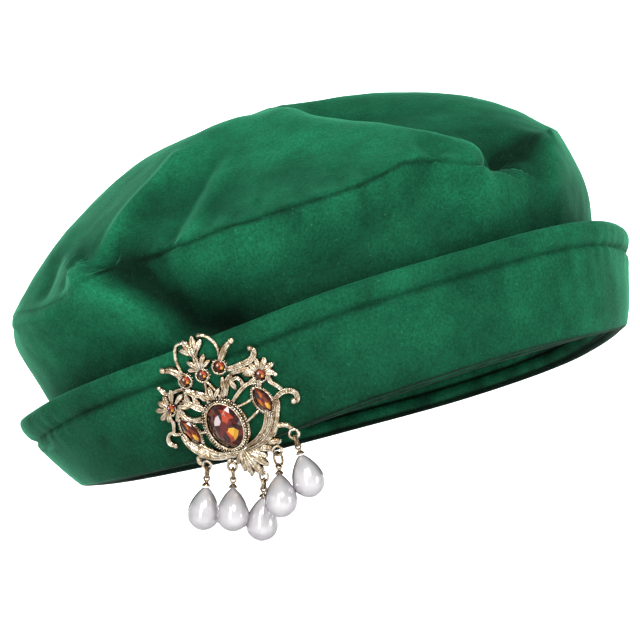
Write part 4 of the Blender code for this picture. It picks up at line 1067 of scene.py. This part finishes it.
def make_stone(stone, material):
    outline = stone_outline(stone)
    half = 0.5 * (outline + np.roll(outline, -1, 0))
    count = len(outline)
    table_z, mid_z = stone.crown, 0.62 * stone.crown
    heights = (1e-3 - stone.lift, -0.0001, 0.0001, mid_z, table_z, table_z + 0.00003)
    shapes = (
        outline * CULET_SHARE, outline, outline, half * 0.5 * (1 + TABLE_SHARE), outline * TABLE_SHARE,
        half * TABLE_SHARE * 0.45,
    )
    rings = [np.concatenate([o, np.full((count, 1), z)], -1) for o, z in zip(shapes, heights)]
    points = np.concatenate(rings)
    faces, ring_names = [tuple(range(count - 1, -1, -1))], ["girdle"]

    def ring(row, k):
        return row * count + k % count

    for k in range(count):
        for row in (0, 1):
            faces.append((ring(row, k), ring(row, k + 1), ring(row + 1, k + 1), ring(row + 1, k)))
        faces.append((ring(2, k), ring(2, k + 1), ring(3, k)))
        faces.append((ring(2, k + 1), ring(3, k + 1), ring(3, k)))
        faces.append((ring(3, k), ring(3, k + 1), ring(4, k + 1)))
        faces.append((ring(3, k), ring(4, k + 1), ring(4, k)))
        faces.append((ring(4, k), ring(4, k + 1), ring(5, k)))
        faces.append((ring(4, k + 1), ring(5, k + 1), ring(5, k)))
        ring_names += ["girdle", "girdle", "rim", "rim", "crown", "crown", "table", "table"]
    faces.append(tuple(ring(5, k) for k in range(count)))
    ring_names.append("rim")
    data = smooth_mesh(stone.name + "_cut", points, faces, smooth=False)
    colours = data.color_attributes.new("facet", "FLOAT_COLOR", "CORNER")
    turn = math.radians(stone.turn)
    for polygon, name in zip(data.polygons, ring_names):
        x, y = polygon.center.x, polygon.center.y
        centre = (x * math.cos(turn) - y * math.sin(turn), x * math.sin(turn) + y * math.cos(turn))
        colour = facet_tone(stone, centre, name, polygon.index // 8 + polygon.index % 8)
        for corner in polygon.loop_indices:
            colours.data[corner].color = (*colour, 1.0)
    data.transform(brooch_frame_at(stone.u, stone.v, stone.lift))
    add_piece(stone.name + "_cut", data, material, stone.name)


# Drops


def turned_grid(profile, sides):
    angle = np.linspace(0, 2 * math.pi, sides, endpoint=False)
    profile = np.array(profile)
    return np.stack([
        profile[:, None, 0] * np.cos(angle), profile[:, None, 0] * np.sin(angle), profile[:, None, 1] + 0 * angle
    ], -1)


def drop_frame(drop):
    loop = brooch_point(drop.u, drop.v, LOOP_WIRE)
    turn = WORN.inverted() @ Matrix.Rotation(math.radians(drop.swing), 4, "Y")
    turn = turn @ Matrix.Rotation(math.radians(-drop.forward), 4, "X")
    down = turn.to_3x3() @ Vector((0.0, 0.0, -1.0))
    out = brooch_frame_at(drop.u, drop.v, LOOP_WIRE).to_3x3() @ Vector((0.0, 0.0, 1.0))
    in_plane = (down - out * down.dot(out)).normalized()
    return Matrix.Translation(loop + in_plane * LOOP_RADIUS) @ turn


def pearl_outline():
    knots = [np.array(p) for p in PEARL_WIDTHS]
    rows = [along(knots, s) for s in np.linspace(0, 1, 40)]
    return [(max(PEARL_RADIUS * w, 0.0), -PEARL_LENGTH * d) for d, w in rows]


def upright_ring(place, radius, height, wire):
    """A ring of wire that stands in a place's own x-z plane."""
    ring = np.stack([radius * np.cos(RING_TURN), 0 * RING_TURN, height + radius * np.sin(RING_TURN)], -1)
    return torus_grid(in_place(place, ring), wire)


def make_drops(gold, pearl):
    for drop in DROPS:
        start, number = drop_frame(drop), drop.number
        ring_centre = -(drop.ring - LOOP_WIRE - RING_WIRE - LINK_GAP)
        turn = Matrix.Rotation(math.radians(drop.ring_turn), 4, "Z")
        place = start @ Matrix.Translation((0, 0, ring_centre)) @ turn
        build = Builder()
        build.add_grid(upright_ring(place, drop.ring, 0.0, RING_LOOK * RING_WIRE), closed_rows=True)
        add_piece(f"drop_ring_{number}_wire", build.mesh("wire"), gold, f"drop_ring_{number}")

        eye_top = ring_centre - drop.ring + RING_WIRE + EYE_WIRE + LINK_GAP
        foot = eye_top - 2 * EYE_RADIUS - (CAP_LENGTH - EYE_SINK * EYE_WIRE)
        place = start @ Matrix.Translation((0, 0, foot))
        build = Builder()
        cap = turned_grid([(radius, share * CAP_LENGTH) for radius, share in CAP_OUTLINE], CAP_SIDES)
        side = np.linspace(0, 2 * math.pi, CAP_SIDES, endpoint=False)
        cap[4:8, :, :2] *= (1 + CAP_RIB_DEPTH * np.cos(CAP_RIBS * side))[None, :, None]
        build.add_grid(in_place(place, cap))
        eye_height = CAP_LENGTH + EYE_RADIUS - EYE_SINK * EYE_WIRE
        build.add_grid(upright_ring(place, EYE_RADIUS, eye_height, EYE_LOOK * EYE_WIRE), closed_rows=True)
        add_piece(f"pearl_cap_{number}_cast", build.mesh("cap"), gold, f"pearl_cap_{number}")

        place = start @ Matrix.Translation((0, 0, foot - FIT_GAP))
        build = Builder()
        build.add_grid(in_place(place, turned_grid([(0.0001, 0.0)] + pearl_outline(), PEARL_SIDES)))
        add_piece(f"pearl_{number}_drop", build.mesh("pearl"), pearl, f"pearl_{number}")


# Materials


def new_material(name):
    material = bpy.data.materials.new(name)
    material.use_nodes = True
    tree = material.node_tree
    return material, tree.nodes, tree.links, tree.nodes["Principled BSDF"]


def set_inputs(node, values):
    for name, value in values.items():
        node.inputs[name].default_value = value


def add_bump(nodes, links, shader, height, strength, distance):
    bump = nodes.new("ShaderNodeBump")
    set_inputs(bump, {"Strength": strength, "Distance": distance})
    links.new(height, bump.inputs["Height"])
    links.new(bump.outputs["Normal"], shader.inputs["Normal"])


def noise_node(nodes, links, source, scale, detail=3.0, roughness=0.5):
    node = nodes.new("ShaderNodeTexNoise")
    set_inputs(node, {"Scale": scale, "Detail": detail, "Roughness": roughness})
    links.new(source, node.inputs["Vector"])
    return node.outputs["Fac"]


def ramp_node(nodes, links, source, low, high, low_colour, high_colour):
    node = nodes.new("ShaderNodeValToRGB")
    node.color_ramp.elements[0].position = low
    node.color_ramp.elements[1].position = high
    node.color_ramp.elements[0].color = (*low_colour, 1)
    node.color_ramp.elements[1].color = (*high_colour, 1)
    links.new(source, node.inputs["Fac"])
    return node.outputs["Color"]


def mixed(nodes, links, kind, factor, first, second):
    node = nodes.new("ShaderNodeMix")
    node.data_type = "RGBA"
    node.blend_type = kind
    node.inputs["Factor"].default_value = factor
    links.new(first, node.inputs["A"])
    links.new(second, node.inputs["B"])
    return node.outputs["Result"]


def make_velvet(name, sheen):
    material, nodes, links, shader = new_material(name)
    where = nodes.new("ShaderNodeTexCoord").outputs["Object"]
    patches = noise_node(nodes, links, where, 34.0, 4.0, 0.62)
    colour = ramp_node(nodes, links, patches, 0.34, 0.68, (0.0042, 0.074, 0.033), (0.0092, 0.150, 0.068))
    # The tone written on each piece: the nap's patches with painted shade and painted highlight
    nap = nodes.new("ShaderNodeVertexColor")
    nap.layer_name = "nap"
    colour = mixed(nodes, links, "MULTIPLY", 1.0, colour, nap.outputs["Color"])
    pile = noise_node(nodes, links, where, 1000.0, 2.0, 0.7)
    speckle = ramp_node(nodes, links, pile, 0.30, 0.75, (0.66, 0.66, 0.66), (1.38, 1.38, 1.38))
    colour = mixed(nodes, links, "MULTIPLY", 1.0, colour, speckle)
    lint = noise_node(nodes, links, where, 1700.0, 1.0, 0.5)
    dots = ramp_node(nodes, links, lint, 0.72, 0.80, (0.0, 0.0, 0.0), (0.05, 0.14, 0.09))
    colour = mixed(nodes, links, "ADD", 1.0, colour, dots)
    links.new(colour, shader.inputs["Base Color"])
    set_inputs(shader, {
        "Roughness": 0.85, "Specular IOR Level": 0.10, "Sheen Weight": sheen, "Sheen Roughness": 0.30,
        "Sheen Tint": (0.12, 0.72, 0.40, 1),
    })
    add_bump(nodes, links, shader, pile, 0.35, 0.0006)
    return material


def make_gold(name, dark, light, low, high):
    material, nodes, links, shader = new_material(name)
    where = nodes.new("ShaderNodeTexCoord").outputs["Object"]
    hollow = nodes.new("ShaderNodeAmbientOcclusion")
    hollow.samples = 8
    hollow.inputs["Distance"].default_value = 0.0020
    shade = ramp_node(nodes, links, hollow.outputs["AO"], low, high, dark, light)
    wear = noise_node(nodes, links, where, 500.0, 3.0, 0.6)
    tint = ramp_node(nodes, links, wear, 0.40, 0.58, (0.46, 0.37, 0.27), (1.0, 1.0, 1.0))
    links.new(mixed(nodes, links, "MULTIPLY", 1.0, shade, tint), shader.inputs["Base Color"])
    set_inputs(shader, {"Metallic": 1.0, "Roughness": 0.20})
    grain = noise_node(nodes, links, where, 900.0, 2.0, 0.6)
    add_bump(nodes, links, shader, grain, 0.85, 0.00045)
    return material


def make_gem():
    material, nodes, links, shader = new_material("cut_stone")
    facet = nodes.new("ShaderNodeVertexColor")
    facet.layer_name = "facet"
    links.new(facet.outputs["Color"], shader.inputs["Base Color"])
    set_inputs(shader, {
        "Roughness": 0.10, "Specular IOR Level": 0.35, "Coat Weight": 0.35, "Coat Roughness": 0.02,
    })
    return material


def make_pearl():
    material, nodes, links, shader = new_material("pearl_coating")
    where = nodes.new("ShaderNodeTexCoord").outputs["Object"]
    cloud = noise_node(nodes, links, where, 160.0, 2.0, 0.5)
    colour = ramp_node(nodes, links, cloud, 0.35, 0.70, (0.68, 0.66, 0.68), (0.82, 0.80, 0.81))
    # Painted shade: the pearl's colour darkens towards its outline, whichever way it is seen
    edge = nodes.new("ShaderNodeLayerWeight")
    edge.inputs["Blend"].default_value = 0.50
    rim = ramp_node(nodes, links, edge.outputs["Facing"], 0.15, 0.80, (1.0, 1.0, 1.0), (0.24, 0.22, 0.25))
    links.new(mixed(nodes, links, "MULTIPLY", 1.0, colour, rim), shader.inputs["Base Color"])
    set_inputs(shader, {"Roughness": 0.17, "Metallic": 0.40, "Coat Weight": 1.0, "Coat Roughness": 0.14})
    return material


# Stage, light and camera

FLOOR_Z = -0.32
WALL_RADIUS = 3.0
WALL_CURVE = 0.9
WALL_TOP = 1.6
WALL_STEPS = 12
WALL_SIDES = 96


def make_stage():
    profile = [(0.0, FLOOR_Z)]
    for k in range(WALL_STEPS + 1):
        angle = math.pi / 2 * k / WALL_STEPS
        profile.append((
            WALL_RADIUS - WALL_CURVE + WALL_CURVE * math.sin(angle), FLOOR_Z + WALL_CURVE * (1 - math.cos(angle))
        ))
    profile.append((WALL_RADIUS, WALL_TOP))
    grid = turned_grid([(max(r, 0.001), z) for r, z in profile], WALL_SIDES)
    data = grid_mesh("studio_floor", grid)
    floor = bpy.data.objects.new("studio_floor", data)
    bpy.context.scene.collection.objects.link(floor)
    material, nodes, links, shader = new_material("studio_paper")
    set_inputs(shader, {"Base Color": (0.90, 0.90, 0.90, 1), "Roughness": 0.9})
    data.materials.append(material)


def add_light(name, where, target, power, width, height):
    light = bpy.data.lights.new(name, "AREA")
    light.shape = "RECTANGLE"
    light.size, light.size_y = width, height
    light.energy = power
    obj = bpy.data.objects.new(name, light)
    obj.location = where
    obj.rotation_euler = (Vector(target) - Vector(where)).to_track_quat("-Z", "Y").to_euler()
    bpy.context.scene.collection.objects.link(obj)


def make_lights():
    world = bpy.data.worlds.new("studio")
    bpy.context.scene.world = world
    world.use_nodes = True
    background = world.node_tree.nodes["Background"]
    background.inputs["Color"].default_value = (1.0, 1.0, 1.0, 1)
    background.inputs["Strength"].default_value = 0.30
    middle = (0.0, 0.0, 0.03)
    add_light("key", (0.20, -1.35, 1.15), middle, 14, 0.40, 0.40)
    add_light("left", (-0.42, -1.25, 0.15), middle, 10, 0.07, 1.80)
    add_light("right", (1.35, -0.80, 0.25), middle, 3, 0.35, 0.8)
    add_light("back_left", (-0.8, 1.1, 1.5), (-0.5, 3.0, 0.35), 60, 0.8, 0.8)
    add_light("back_right", (0.8, 1.1, 1.5), (0.5, 3.0, 0.35), 60, 0.8, 0.8)


CAMERA_PLACE = (-0.0144, -1.1990, -0.0620)
CAMERA_RISE = math.radians(4.7)
CAMERA_LENS = 177.6


def make_camera():
    camera = bpy.data.cameras.new("camera")
    camera.sensor_width = 36.0
    camera.lens = CAMERA_LENS
    camera.clip_start = 0.05
    camera.clip_end = 20.0
    obj = bpy.data.objects.new("camera", camera)
    obj.location = CAMERA_PLACE
    obj.rotation_euler = (math.pi / 2 + CAMERA_RISE, 0.0, 0.0)
    bpy.context.scene.collection.objects.link(obj)
    bpy.context.scene.camera = obj
    bpy.context.scene.view_settings.view_transform = "Standard"


make_camera()
make_stage()
make_lights()
velvet_material = make_velvet("green_velvet", 0.70)
shaded_velvet = make_velvet("shaded_velvet", 0.08)
gold_material = make_gold("antique_gold", (0.022, 0.014, 0.008), (0.98, 0.86, 0.67), 0.38, 0.99)
finding_material = make_gold("aged_gold", (0.020, 0.014, 0.009), (0.42, 0.33, 0.22), 0.20, 0.90)
gem_material = make_gem()
pearl_material = make_pearl()
make_crown(velvet_material)
make_brim(velvet_material, shaded_velvet)
make_headband(shaded_velvet)
make_brooch(gold_material)
for stone_row in STONES:
    make_stone(stone_row, gem_material)
make_drops(finding_material, pearl_material)
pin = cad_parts["brooch_pin"]
pin.data.materials.clear()
pin.data.materials.append(gold_material)
